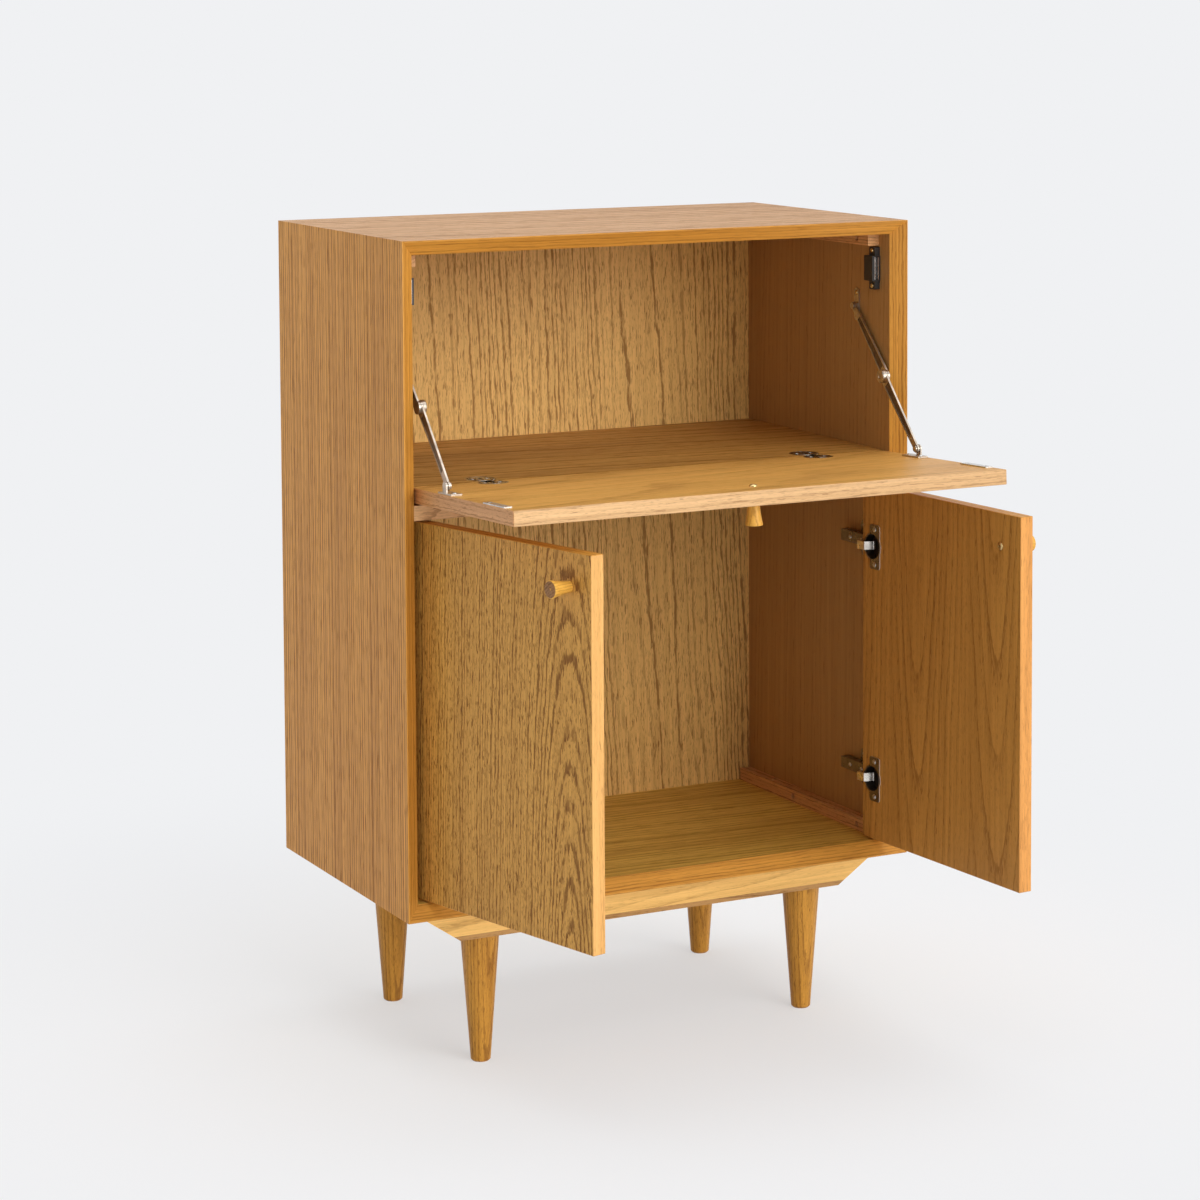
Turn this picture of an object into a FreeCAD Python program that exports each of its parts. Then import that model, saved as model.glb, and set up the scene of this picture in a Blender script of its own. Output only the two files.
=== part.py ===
"""Wall-side bar cabinet: a mitred case on a plinth and four turned legs.

The upper room is closed by a drop flap that opens into a bar shelf and hangs on two
folding stays. The lower room is closed by a pair of doors on concealed hinges.

Frame: the origin lies on the floor under the middle of the case, +X points to the
right as one faces the cabinet, +Y to the back and +Z up. Millimetres and degrees.
"""
import FreeCAD, Part
import math
import os

V = FreeCAD.Vector
RIGHTWARD, BACKWARD, UPWARD = V(1, 0, 0), V(0, 1, 0), V(0, 0, 1)
LEFTWARD, FORWARD, DOWNWARD = V(-1, 0, 0), V(0, -1, 0), V(0, 0, -1)

# --- case -------------------------------------------------------------------------
case_width = 690.0
case_depth = 400.0
case_height = 810.0
floor_to_case = 200.0
board = 18.0                  # thickness of every case board, the flap and the doors
front_lip = 1.5               # flat strip left along the outer edge of the case front
front_bevel = 14.5            # how far the bevelled front slopes back across a board
lower_room = 480.0            # clear height behind the doors
shelf_joint_gap = 0.5         # between the shelf's front edge and the level flap

back_thickness = 8.0
back_inset = 11.0             # back panel behind the case's rear edge
groove_depth = 8.0
groove_play = 0.2

rail_height = 18.0
rail_depth = 70.0
rail_to_shelf = 2.5           # room for the flap's heel to pass
rail_setback = 0.5            # rail behind the face of the doors

housing_depth = 6.0           # how far shelf and rail are let into the sides
housing_play = 0.1            # clearance round the let-in ends
bore_play = 0.06              # radial clearance of bolts, pins and screws in their holes

cleat_size = 16.0
cleat_front = 6.0             # cleat's front end behind the closed flap
cleat_back_play = 3.0
cleat_hole_radius = 4.0
cleat_hole_depth = 6.0
cleat_side_holes = (28.0, 193.0)         # from the cleat's front end
cleat_level_holes = (74.0, 258.0)

# --- plinth and legs --------------------------------------------------------------
plinth_height = 40.0
plinth_setback = 33.0         # behind the case's front edge
plinth_end_setback = 22.5     # inside the case's side, at the top
plinth_end_slope = 1.48       # sideways per unit of height
plinth_bottom_board = 6.0
plinth_rail = 16.0
leg_from_side = 120.0         # leg's middle inside the case's side
leg_from_front = 63.0
leg_top_radius = 24.0
leg_foot_radius = 12.2
leg_foot_ease = 2.0
block_length = 42.0
block_depth = 52.0
block_height = 26.0
leg_bolt_radius = 4.0
leg_bolt_in_leg = 32.0
leg_nut_radius = 8.0
leg_nut_height = 6.0

# --- drop flap --------------------------------------------------------------------
fronts_reveal = 1.0           # closed fronts behind the inner edge of the bevel
flap_side_gap = 2.5
flap_top_gap = 2.0
flap_open_tilt = 2.4          # the free end stays this much above level when open
heel_round = 6.0
heel_play = 0.4
edge_ease = 0.6
flap_hinge_from_side = 103.0      # hinge's middle from the side board
hinge_cup_radius = 17.4
hinge_cup_floor = 1.5             # metal under the tongue
hinge_cup_from_joint = 18.0
hinge_disc_radius = 19.0
hinge_disc = 1.0
pocket_play = 0.05
tongue_width = 12.0
tongue_height = 5.0
eye_radius = 3.2
tongue_play = 0.5
hinge_pin_radius = 1.75
hinge_pin_length = 26.0
pin_running_play = 0.06

# --- folding stays ----------------------------------------------------------------
stay_pivot_behind_axis = 68.2     # wall pivot, from the flap's turning axis
stay_pivot_above_axis = 188.1
foot_pivot_along_flap = 99.3      # foot pivot, from the flap's hinged end
foot_pivot_height = 10.0          # and above its inner face
arm_thickness = 2.4
arm_end_half = 4.4                # half width of an arm beside its end pivot
arm_elbow_half = 7.4              # and beside the elbow
arm_eye_radius = 5.2
elbow_eye_radius = 8.3
web_depth = 0.7                   # each face of an arm is sunk between its rims
web_rim = 1.6
web_from_pivot = 20.0
web_from_elbow = 13.0
arm_stud_radius = 1.6
arm_stud_height = 0.5
arm_stud_from_pivot = 14.5
upper_arm_off_wall = 4.2
arm_layer_gap = 1.0               # between the two arms
running_gap = 0.4                 # between faces that pass each other
bracket_plate = 1.6
bracket_half = 6.0
bracket_up = 17.0
bracket_down = 13.0
stay_collar_radius = 5.0
stay_pin_radius = 2.0
stay_head_radius = 4.0
stay_head = 1.5
elbow_boss_radius = 8.0
elbow_drum_radius = 8.7
elbow_drum_height = 4.4
elbow_drum_ease = 0.9
elbow_dish_radius = 3.6
elbow_dish = 0.6
foot_length = 38.0
foot_width = 14.0
foot_plate = 2.0
foot_tab = 1.8
foot_tab_half = 5.0
foot_screw_spread = 13.0
stay_off_side = 1.8               # foot tab inside the flap's side edge

# --- doors ------------------------------------------------------------------------
door_side_gap = 1.5
door_middle_gap = 2.0
door_top_gap = 2.5
door_bottom_gap = 3.0
door_axis_from_edge = 12.5
door_axis_from_inner = 13.5       # outward from the closed door's inner face
left_door_open = 76.0
right_door_open = 94.2
door_hinge_from_end = 78.0
cup_radius = 17.4
cup_depth = 12.5
cup_from_edge = 21.5
cup_wall = 1.5
cup_floor = 1.0
cup_flange = 1.2
cup_flange_length = 57.0
cup_flange_width = 21.0
cup_flange_corner = 3.5
cup_flange_from_edge = 27.0
cup_rim = 0.5                     # rim's overhang round the cup
cup_rim_height = 1.0
hinge_arm_width = 14.4
hinge_arm_length = 70.0
hinge_arm_height = 13.5           # off the side wall
hinge_arm_sheet = 1.5
hinge_arm_roof_start = 8.5        # roof of the arm behind its front pivot
hinge_plate = 1.8
hinge_plate_wing = 24.0
hinge_plate_wing_half = 9.0
hinge_plate_behind_door = 38.5
link_pivot_off_wall = 7.6
link_pivot_behind_door = 7.4
link_pivot_radius = 1.5
link_eye_radius = 3.0
link_width = 10.4
link_half_sheet = 2.0
link_drawn_at = 94.2              # door angle at which the link's sizes are given
link_direction = -17.6
link_reach = 27.7
link_elbow_turn = 82.5
link_hook = 11.5
link_tip_turn = 64.3
link_tip = 11.5
link_tip_radius = 2.2
link_ratio = 0.40                 # turn of the link for each unit of the door's turn

# --- knobs, catches and small screws ----------------------------------------------
knob_base_radius = 7.0
knob_end_radius = 10.5
knob_length = 28.0
knob_rim_ease = 1.0
knob_screw_radius = 2.0
knob_screw_in_knob = 14.0
knob_screw_head_radius = 4.75
knob_screw_head_height = 2.6
knob_from_free_edge = 39.0
door_knob_below_top = 40.0

catch_body_width = 12.0
catch_body_depth = 20.5
catch_body_height = 32.0
catch_z_below_top = 45.0
catch_ear_height = 54.0
catch_ear_depth = 13.5
catch_ear_thickness = 7.5
catch_ear_behind = 1.5            # start of the ears behind the body's front
catch_ear_corner = 1.5
catch_screw_spread = 22.5
pole_height = 28.0
pole_thickness = 1.5
pole_depth = 13.0
pole_proud = 0.8
magnet_thickness = 3.4
magnet_height = 26.0
magnet_setback = 1.6
catch_pocket_play = 0.1
strike_length = 57.0
strike_width = 10.0
strike_thickness = 1.5
strike_from_free_edge = 28.0
strike_from_side = 6.5
strike_screw_inset = 9.0

small_hole_radius = 1.7
strike_hole_radius = 2.6

# --- derived places ---------------------------------------------------------------
half_width = case_width / 2
half_depth = case_depth / 2
case_top = floor_to_case + case_height
case_middle = floor_to_case + case_height / 2
inner_half = half_width - board
inner_bottom = floor_to_case + board
inner_top = case_top - board
back_front_y = half_depth - back_inset - back_thickness

front_face_y = -half_depth + front_bevel + fronts_reveal
closed_inner_y = front_face_y + board
shelf_bottom = inner_bottom + lower_room
shelf_top = shelf_bottom + board
shelf_front_y = closed_inner_y + shelf_joint_gap
rail_top = shelf_bottom - rail_to_shelf
rail_bottom = rail_top - rail_height
rail_front_y = front_face_y + rail_setback
half_board = board / 2
axis_y = front_face_y + half_board
axis_z = shelf_bottom + half_board
cove_radius = math.hypot(half_board, half_board) + heel_play
hinge_cup_depth = half_board + tongue_height / 2 + hinge_cup_floor

plinth_half_depth = half_depth - plinth_setback
plinth_top_half_width = half_width - plinth_end_setback
leg_x = half_width - leg_from_side
leg_y = half_depth - leg_from_front

flap_half_width = inner_half - flap_side_gap
flap_hinge_x = inner_half - flap_hinge_from_side
flap_length = inner_top - flap_top_gap - shelf_bottom

door_edge_x = inner_half - door_side_gap
door_width = door_edge_x - door_middle_gap / 2
door_bottom = inner_bottom + door_bottom_gap
door_top = rail_bottom - door_top_gap
door_axis_x = door_edge_x - door_axis_from_edge
door_axis_y = closed_inner_y - door_axis_from_inner
door_hinge_heights = (door_bottom + door_hinge_from_end, door_top - door_hinge_from_end)

plinth_bottom = floor_to_case - plinth_height
cleat_front_y = closed_inner_y + cleat_front + shelf_joint_gap
catch_front_y = closed_inner_y + strike_thickness + running_gap + pole_proud
catch_z = inner_top - catch_z_below_top


# --- plain shapes -----------------------------------------------------------------
def block(x0, x1, y0, y1, z0, z1):
    """Box between two corners."""
    return Part.makeBox(x1 - x0, y1 - y0, z1 - z0, V(x0, y0, z0))


def rod(radius, start, direction, length):
    """Round bar from a start point along a direction."""
    return Part.makeCylinder(radius, length, start, direction)


def prism(points, travel):
    """Solid swept by a flat polygon along a vector."""
    loop = Part.makePolygon(list(points) + [points[0]])
    return Part.Face(loop).extrude(travel)


def spun(points):
    """Solid of revolution about +Z from an outline of (radius, height) points."""
    corners = [V(radius, 0, height) for radius, height in points]
    outline = Part.makePolygon(corners + [corners[0]])
    return Part.Face(outline).revolve(V(0, 0, 0), UPWARD, 360)


def aimed(shape, place, direction):
    """Shape drawn along +Z from the origin, moved to a place and aimed elsewhere."""
    moved = shape.copy()
    moved.Placement = FreeCAD.Placement(place, FreeCAD.Rotation(UPWARD, direction))
    return moved


def turned(shape, centre, axis, angle):
    """Copy of a shape turned about an axis through a point."""
    copy = shape.copy()
    copy.rotate(centre, axis, angle)
    return copy


def mirrored(shape):
    """Copy on the other side of the cabinet's middle plane."""
    return shape.mirror(V(0, 0, 0), RIGHTWARD)


def both_sides(shape):
    """The shape and its mirror image."""
    return [shape, mirrored(shape)]


def joined(first, *others):
    """One solid out of touching ones."""
    return first.fuse(list(others)).removeSplitter()


def rounded_bar(start, end, radius, travel):
    """Flat bar with round ends between two points, swept along a vector."""
    along = (end - start).normalize()
    across = travel.cross(along).normalize() * radius
    middle = prism([start + across, end + across, end - across, start - across], travel)
    ends = [rod(radius, point, travel, travel.Length) for point in (start, end)]
    return joined(middle, *ends)


def pan_screw(place, direction, head_radius, head_height, shank_radius, length):
    """Screw with its head on a surface and its plain shank going in."""
    head = rod(head_radius, place, direction * -1, head_height)
    return joined(head, rod(shank_radius, place, direction, length))


def screw_bore(place, direction, shank_radius, length):
    """Hole that takes a screw's shank."""
    return rod(shank_radius + bore_play, place, direction, length + bore_play)


def small_hole(x, y, z, direction, length):
    """Screw hole through a fitting, from one of its faces."""
    return rod(small_hole_radius, V(x, y, z), direction, length)


def save(node, *shapes):
    """Write the solids of one named piece."""
    solids = [solid for shape in shapes for solid in shape.Solids]
    whole = solids[0] if len(solids) == 1 else Part.makeCompound(solids)
    whole.exportStep(f"parts/{node}.step")


# --- case boards ------------------------------------------------------------------
def case_board(span):
    """Mitred board along Z, outer face on x = 0 and inner face on x = board."""
    section = [V(0, half_depth, 0), V(0, -half_depth, 0), V(front_lip, -half_depth, 0),
               V(board, -half_depth + front_bevel, 0), V(board, half_depth, 0)]
    drawn = [point - UPWARD * (span / 2) for point in section]
    bar = prism(drawn, UPWARD * span)
    mitre = prism([V(0, -half_depth, -span / 2), V(board, -half_depth, board - span / 2),
                   V(board, -half_depth, span / 2 - board), V(0, -half_depth, span / 2)],
                  BACKWARD * case_depth)
    groove = block(board - groove_depth, board, back_front_y,
                   back_front_y + back_thickness + groove_play, -span, span)
    return bar.common(mitre).cut(groove)


def side_panel():
    """Left side board with the housings that take the shelf and the rail."""
    panel = case_board(case_height)
    panel.translate(V(-half_width, 0, case_middle))
    deep = inner_half + housing_depth
    shelf_seat = block(-deep, -inner_half, shelf_front_y - housing_play, back_front_y,
                       shelf_bottom - housing_play, shelf_top + housing_play)
    rail_seat = block(-deep, -inner_half, rail_front_y - housing_play,
                      rail_front_y + rail_depth + housing_play,
                      rail_bottom - housing_play, rail_top + housing_play)
    return panel.cut([shelf_seat, rail_seat])


def bottom_panel():
    """Bottom board of the case."""
    panel = turned(case_board(case_width), V(0, 0, 0), BACKWARD, -90)
    panel.translate(V(0, 0, floor_to_case))
    return panel


def top_panel():
    """Top board: the bottom one turned over."""
    return upside_down(bottom_panel())


def back_panel():
    """Back, standing in the grooves of all four boards."""
    reach = groove_depth - groove_play
    return block(-inner_half - reach, inner_half + reach,
                 back_front_y, back_front_y + back_thickness,
                 inner_bottom - reach, inner_top + reach)


def let_in_half():
    """Half length of a board whose ends are let into the side panels."""
    return inner_half + housing_depth - housing_play


def fixed_shelf():
    """Floor of the bar room: coved along the front, pocketed for the hinge cups."""
    half = let_in_half()
    shelf = block(-half, half, shelf_front_y, back_front_y, shelf_bottom, shelf_top)
    return shelf.cut([flap_cove()] + both_sides(cup_pocket(shelf_cup_centre())))


def front_rail():
    """Rail under the shelf, above the doors."""
    half = let_in_half()
    return block(-half, half, rail_front_y, rail_front_y + rail_depth,
                 rail_bottom, rail_top)


# --- corner cleats ----------------------------------------------------------------
def cleat():
    """Top left cleat, with wide screw holes sunk in two faces."""
    edge = -inner_half + cleat_size
    low = inner_top - cleat_size
    batten = block(-inner_half, edge, cleat_front_y, back_front_y - cleat_back_play,
                   low, inner_top)
    middle = cleat_size / 2
    aside = [rod(cleat_hole_radius, V(edge, cleat_front_y + along, inner_top - middle),
                 LEFTWARD, cleat_hole_depth) for along in cleat_side_holes]
    level = [rod(cleat_hole_radius, V(-inner_half + middle, cleat_front_y + along, low),
                 UPWARD, cleat_hole_depth) for along in cleat_level_holes]
    return batten.cut(aside + level)


def upside_down(shape):
    """Mirror image about the middle height of the case."""
    return shape.mirror(V(0, 0, case_middle), UPWARD)


# --- plinth and legs --------------------------------------------------------------
def plinth_half_width(z):
    """Half width of the plinth's sloping ends at a height."""
    return plinth_top_half_width - (floor_to_case - z) * plinth_end_slope


def plinth_outline(y, z0, z1):
    """Corners of the plinth's front view between two heights."""
    low, high = plinth_half_width(z0), plinth_half_width(z1)
    return [V(-low, y, z0), V(low, y, z0), V(high, y, z1), V(-high, y, z1)]


def plinth_board():
    """Thin bottom board of the plinth, pierced for the legs' bolts."""
    top = plinth_bottom + plinth_bottom_board
    sheet = prism(plinth_outline(-plinth_half_depth, plinth_bottom, top),
                  BACKWARD * (2 * plinth_half_depth))
    bolts = [screw_bore(V(x, y, plinth_bottom), UPWARD, leg_bolt_radius, plinth_height)
             for x, y in leg_places()]
    return sheet.cut(bolts)


def plinth_front_rail():
    """Front rail, its ends cut to the slope."""
    low = plinth_bottom + plinth_bottom_board
    return prism(plinth_outline(-plinth_half_depth, low, floor_to_case),
                 BACKWARD * plinth_rail)


def plinth_left_rail():
    """Sloping end board between the front and back rails."""
    low = plinth_bottom + plinth_bottom_board
    level_thickness = plinth_rail * math.hypot(1, plinth_end_slope)
    outer_low, outer_high = plinth_half_width(low), plinth_half_width(floor_to_case)
    start = -plinth_half_depth + plinth_rail
    section = [V(-outer_low, start, low), V(-outer_high, start, floor_to_case),
               V(level_thickness - outer_high, start, floor_to_case),
               V(level_thickness - outer_low, start, low)]
    return prism(section, BACKWARD * (-2 * start))


def leg_places():
    """(x, y) of the four legs."""
    return [(sx * leg_x, sy * leg_y) for sx in (-1, 1) for sy in (-1, 1)]


def block_centre_x():
    """Middle of a corner block, just inside the sloping end board."""
    low = plinth_bottom + plinth_bottom_board
    level_thickness = plinth_rail * math.hypot(1, plinth_end_slope)
    return plinth_half_width(low) - level_thickness - block_length / 2 - groove_play


def corner_blocks():
    """Blocks in the plinth's corners that take the legs' bolts."""
    low = plinth_bottom + plinth_bottom_board
    blocks = []
    for sx, sy in ((-1, -1), (-1, 1), (1, -1), (1, 1)):
        near = sy * (plinth_half_depth - plinth_rail)
        far = near - sy * block_depth
        middle = sx * block_centre_x()
        lump = block(middle - block_length / 2, middle + block_length / 2,
                     min(near, far), max(near, far), low, low + block_height)
        bolt = screw_bore(V(sx * leg_x, sy * leg_y, low), UPWARD, leg_bolt_radius,
                          block_height)
        blocks.append(lump.cut(bolt))
    return blocks


def leg(x, y):
    """Tapered round leg with an eased foot, bored for its bolt."""
    shape = spun([(0, 0), (leg_foot_radius - leg_foot_ease, 0),
                  (leg_foot_radius, leg_foot_ease),
                  (leg_top_radius, plinth_bottom), (0, plinth_bottom)])
    shape.translate(V(x, y, 0))
    return shape.cut(screw_bore(V(x, y, plinth_bottom), DOWNWARD, leg_bolt_radius,
                                leg_bolt_in_leg))


def leg_bolt(x, y):
    """Bolt from the leg up through board and block, with its round nut on top."""
    block_top = plinth_bottom + plinth_bottom_board + block_height
    length = leg_bolt_in_leg + plinth_bottom_board + block_height
    shank = rod(leg_bolt_radius, V(x, y, plinth_bottom - leg_bolt_in_leg), UPWARD, length)
    nut = rod(leg_nut_radius, V(x, y, block_top), UPWARD, leg_nut_height)
    return joined(shank, nut)


# --- flap hinges ------------------------------------------------------------------
def flap_cove():
    """Round hollow in which the flap's heel turns."""
    start = V(-let_in_half(), axis_y, axis_z)
    return rod(cove_radius, start, RIGHTWARD, 2 * let_in_half())


def shelf_cup_centre():
    """Centre of the left hinge cup in the shelf, at its top face."""
    return V(-flap_hinge_x, closed_inner_y + hinge_cup_from_joint + shelf_joint_gap / 2,
             shelf_top)


def flap_cup_centre():
    """Centre of the left hinge cup in the flap, drawn level."""
    return V(-flap_hinge_x, closed_inner_y - hinge_cup_from_joint, shelf_top)


def hinge_cup(centre):
    """Round hinge body sunk from the top face, with its flush disc."""
    body = rod(hinge_cup_radius, centre, DOWNWARD, hinge_cup_depth)
    return joined(body, rod(hinge_disc_radius, centre, DOWNWARD, hinge_disc))


def cup_pocket(centre):
    """Recess in the wood that takes a hinge cup."""
    body = rod(hinge_cup_radius + pocket_play, centre, DOWNWARD,
               hinge_cup_depth + pocket_play)
    return joined(body, rod(hinge_disc_radius + pocket_play, centre, DOWNWARD, hinge_disc))


def shelf_cup():
    """Case half of the left flap hinge: cup with the tongue that carries the pin."""
    centre = shelf_cup_centre()
    ahead = block(-inner_half, 0, -half_depth, shelf_front_y, shelf_bottom, shelf_top)
    body = hinge_cup(centre).cut([flap_cove(), ahead])
    start_x = centre.x - tongue_width / 2
    tongue = block(start_x, start_x + tongue_width, axis_y, centre.y,
                   axis_z - tongue_height / 2, axis_z + tongue_height / 2)
    eye = rod(eye_radius, V(start_x, axis_y, axis_z), RIGHTWARD, tongue_width)
    hole = rod(hinge_pin_radius + pin_running_play, V(start_x, axis_y, axis_z),
               RIGHTWARD, tongue_width)
    return joined(body, tongue, eye).cut(hole)


def tongue_slot():
    """Room in the flap for the left hinge's tongue, from its end and its inner face."""
    reach = half_board + eye_radius + running_gap
    half = tongue_width / 2 + tongue_play
    return block(-flap_hinge_x - half, -flap_hinge_x + half, closed_inner_y - reach,
                 shelf_front_y, shelf_top - reach, shelf_top + half_board)


def hinge_pin_bore():
    """Hole across the flap's half of the left hinge for its pin."""
    start = V(-flap_hinge_x - hinge_pin_length / 2 - bore_play, axis_y, axis_z)
    return rod(hinge_pin_radius + bore_play, start, RIGHTWARD,
               hinge_pin_length + 2 * bore_play)


def flap_cup():
    """Flap half of the left hinge, slotted for the tongue and bored for the pin."""
    beyond = block(-inner_half, 0, closed_inner_y, half_depth, shelf_bottom, shelf_top)
    return hinge_cup(flap_cup_centre()).cut([beyond, tongue_slot(), hinge_pin_bore()])


def flap_hinge_pin():
    """Pin of the left flap hinge."""
    start = V(-flap_hinge_x - hinge_pin_length / 2, axis_y, axis_z)
    return rod(hinge_pin_radius, start, RIGHTWARD, hinge_pin_length)


# --- flap, drawn level and then tilted --------------------------------------------
def flap_tilted(shape):
    """Flap piece lifted from level to its open rest."""
    return turned(shape, V(0, axis_y, axis_z), RIGHTWARD, -flap_open_tilt)


def flap_place(x, along, height):
    """Point on the level flap: along from the hinged end, height over its inner face."""
    return V(x, closed_inner_y - along, shelf_top + height)


def flap_panel():
    """The drop flap: eased edges, a rounded heel, pockets and slots for its hinges."""
    free_y = closed_inner_y - flap_length
    slab = block(-flap_half_width, flap_half_width, free_y, closed_inner_y,
                 shelf_bottom, shelf_top)
    eased = [edge for edge in slab.Edges if edge.BoundBox.YMin < closed_inner_y - board]
    slab = slab.makeChamfer(edge_ease, eased)
    tools = [tool for drawn in (cup_pocket(flap_cup_centre()), tongue_slot(),
                                hinge_pin_bore()) for tool in both_sides(drawn)]
    tools.append(screw_bore(knob_seat(), UPWARD, knob_screw_radius, board))
    return slab.cut(tools + [heel_waste()])


def heel_waste():
    """What is taken off the hinged end's outer corner to round it."""
    corner = block(-half_width, half_width, closed_inner_y - heel_round,
                   closed_inner_y + heel_round, shelf_bottom - heel_round,
                   shelf_bottom + heel_round)
    centre = V(-half_width, closed_inner_y - heel_round, shelf_bottom + heel_round)
    return corner.cut(rod(heel_round, centre, RIGHTWARD, case_width))


def knob_seat():
    """Centre of the flap knob's base on the outer face."""
    return V(0, closed_inner_y - flap_length + knob_from_free_edge, shelf_bottom)


def knob(place, direction):
    """Turned knob, wider at its end, bored from its base for its screw."""
    shape = spun([(0, 0), (knob_base_radius, 0),
                  (knob_end_radius, knob_length - knob_rim_ease),
                  (knob_end_radius - knob_rim_ease, knob_length), (0, knob_length)])
    shape = shape.cut(screw_bore(V(0, 0, 0), UPWARD, knob_screw_radius, knob_screw_in_knob))
    return aimed(shape, place, direction)


def knob_screw(place, direction):
    """Screw from the inner face through the board into the knob's base."""
    inner = place - direction * board
    return pan_screw(inner, direction, knob_screw_head_radius, knob_screw_head_height,
                     knob_screw_radius, board + knob_screw_in_knob)


def strike_x():
    """Distance of a strike plate's middle from the cabinet's middle."""
    return flap_half_width - strike_from_side


def strike_plate():
    """Left strike plate, drilled for its two screws."""
    first = flap_length - strike_from_free_edge
    start = flap_place(-strike_x(), first, 0)
    plate = block(start.x - strike_width / 2, start.x + strike_width / 2,
                  start.y, start.y + strike_length, shelf_top, shelf_top + strike_thickness)
    holes = [rod(strike_hole_radius, V(start.x, y, shelf_top), UPWARD, strike_thickness)
             for y in (start.y + strike_screw_inset,
                       start.y + strike_length - strike_screw_inset)]
    return plate.cut(holes)


# --- folding stays ----------------------------------------------------------------
def arm_planes():
    """Distances from the middle of the upper and lower arms' wall-side faces."""
    upper = inner_half - upper_arm_off_wall
    return upper, upper - arm_thickness - arm_layer_gap


def wall_pivot():
    """Stay's pivot on the side wall, as (y, z)."""
    return axis_y + stay_pivot_behind_axis, axis_z + stay_pivot_above_axis


def foot_pivot(tilt):
    """Stay's pivot on the flap as (y, z) when its free end is lifted by a tilt."""
    run = foot_pivot_along_flap - half_board
    rise = foot_pivot_height + half_board
    angle = math.radians(tilt)
    return (axis_y - run * math.cos(angle) + rise * math.sin(angle),
            axis_z + run * math.sin(angle) + rise * math.cos(angle))


def elbow():
    """Elbow of the open stay as (y, z), midway between its end pivots, so it is straight."""
    wall, foot = wall_pivot(), foot_pivot(flap_open_tilt)
    return (wall[0] + foot[0]) / 2, (wall[1] + foot[1]) / 2


def side_point(x, place):
    """Point with the side view's (y, z) at one distance from the middle."""
    return V(x, place[0], place[1])


def arm_slice(pivot, elbow_point, near, far, rim, travel):
    """Part of a tapering arm between two distances from its end pivot, less its rims."""
    span = elbow_point - pivot
    taper = (arm_elbow_half - arm_end_half) / span.Length
    along = span.normalize()
    across = RIGHTWARD.cross(along)
    corners = [pivot + along * distance + across * (side * (arm_end_half + taper * distance - rim))
               for distance, side in ((near, 1), (far, 1), (far, -1), (near, -1))]
    return prism(corners, travel)


def stay_arm(start, end, outer):
    """Pressed arm from its bored end eye to the elbow, both faces sunk between rims."""
    a, b = side_point(outer, start), side_point(outer, end)
    length = a.distanceToPoint(b)
    inward = LEFTWARD * arm_thickness
    strip = arm_slice(a, b, 0, length, 0, inward)
    eyes = [rod(arm_eye_radius, a, LEFTWARD, arm_thickness),
            rod(elbow_eye_radius, b, LEFTWARD, arm_thickness)]
    stud = rod(arm_stud_radius, a + inward + (b - a) * (arm_stud_from_pivot / length),
               LEFTWARD, arm_stud_height)
    sunk = LEFTWARD * web_depth
    webs = [arm_slice(a + face, b + face, web_from_pivot, length - web_from_elbow, web_rim,
                      sunk) for face in (V(0, 0, 0), inward - sunk)]
    hole = rod(stay_pin_radius + pin_running_play, a, LEFTWARD, arm_thickness)
    return joined(strip, stud, *eyes).cut(webs + [hole])


def upper_arm():
    """Right upper arm, from the wall pivot to the elbow."""
    outer, _ = arm_planes()
    return stay_arm(wall_pivot(), elbow(), outer)


def lower_arm():
    """Right lower arm, from the foot pivot to the elbow, with the elbow's boss."""
    _, outer = arm_planes()
    arm = stay_arm(foot_pivot(flap_open_tilt), elbow(), outer)
    boss = rod(elbow_boss_radius, side_point(outer, elbow()), RIGHTWARD,
               arm_layer_gap - running_gap)
    return joined(arm, boss)


def elbow_rivet():
    """Dished drum on the room side of the right stay's elbow."""
    _, outer = arm_planes()
    shoulder = elbow_drum_height - elbow_drum_ease
    floor = elbow_drum_height - elbow_dish
    drum = spun([(0, 0), (elbow_drum_radius, 0), (elbow_drum_radius, shoulder),
                 (elbow_drum_radius - elbow_drum_ease, elbow_drum_height),
                 (elbow_dish_radius, elbow_drum_height),
                 (elbow_dish_radius - elbow_dish, floor), (0, floor)])
    return aimed(drum, side_point(outer - arm_thickness, elbow()), LEFTWARD)


def bracket_screw_places():
    """(y, z) of each wall bracket's screws, above and below its pivot."""
    y, z = wall_pivot()
    return [(y, z + bracket_up), (y, z - bracket_down)]


def wall_bracket():
    """Right wall bracket: plate, collar, pin and rivet head of the upper pivot."""
    (y, high), (_, low) = bracket_screw_places()
    inner_face = inner_half - bracket_plate
    plate = rounded_bar(V(inner_half, y, low), V(inner_half, y, high), bracket_half,
                        LEFTWARD * bracket_plate)
    holes = [small_hole(inner_half, y, z, LEFTWARD, bracket_plate) for z in (low, high)]
    outer, _ = arm_planes()
    pivot = wall_pivot()
    collar = rod(stay_collar_radius, side_point(inner_face, pivot), LEFTWARD,
                 inner_face - outer - running_gap)
    head_start = outer - arm_thickness - running_gap
    pin = rod(stay_pin_radius, side_point(inner_face, pivot), LEFTWARD,
              inner_face - head_start)
    head = rod(stay_head_radius, side_point(head_start, pivot), LEFTWARD, stay_head)
    return joined(plate.cut(holes), collar, pin, head)


def foot_outer_x():
    """Outer side of a stay foot and of its upright tab."""
    return flap_half_width - stay_off_side


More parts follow.
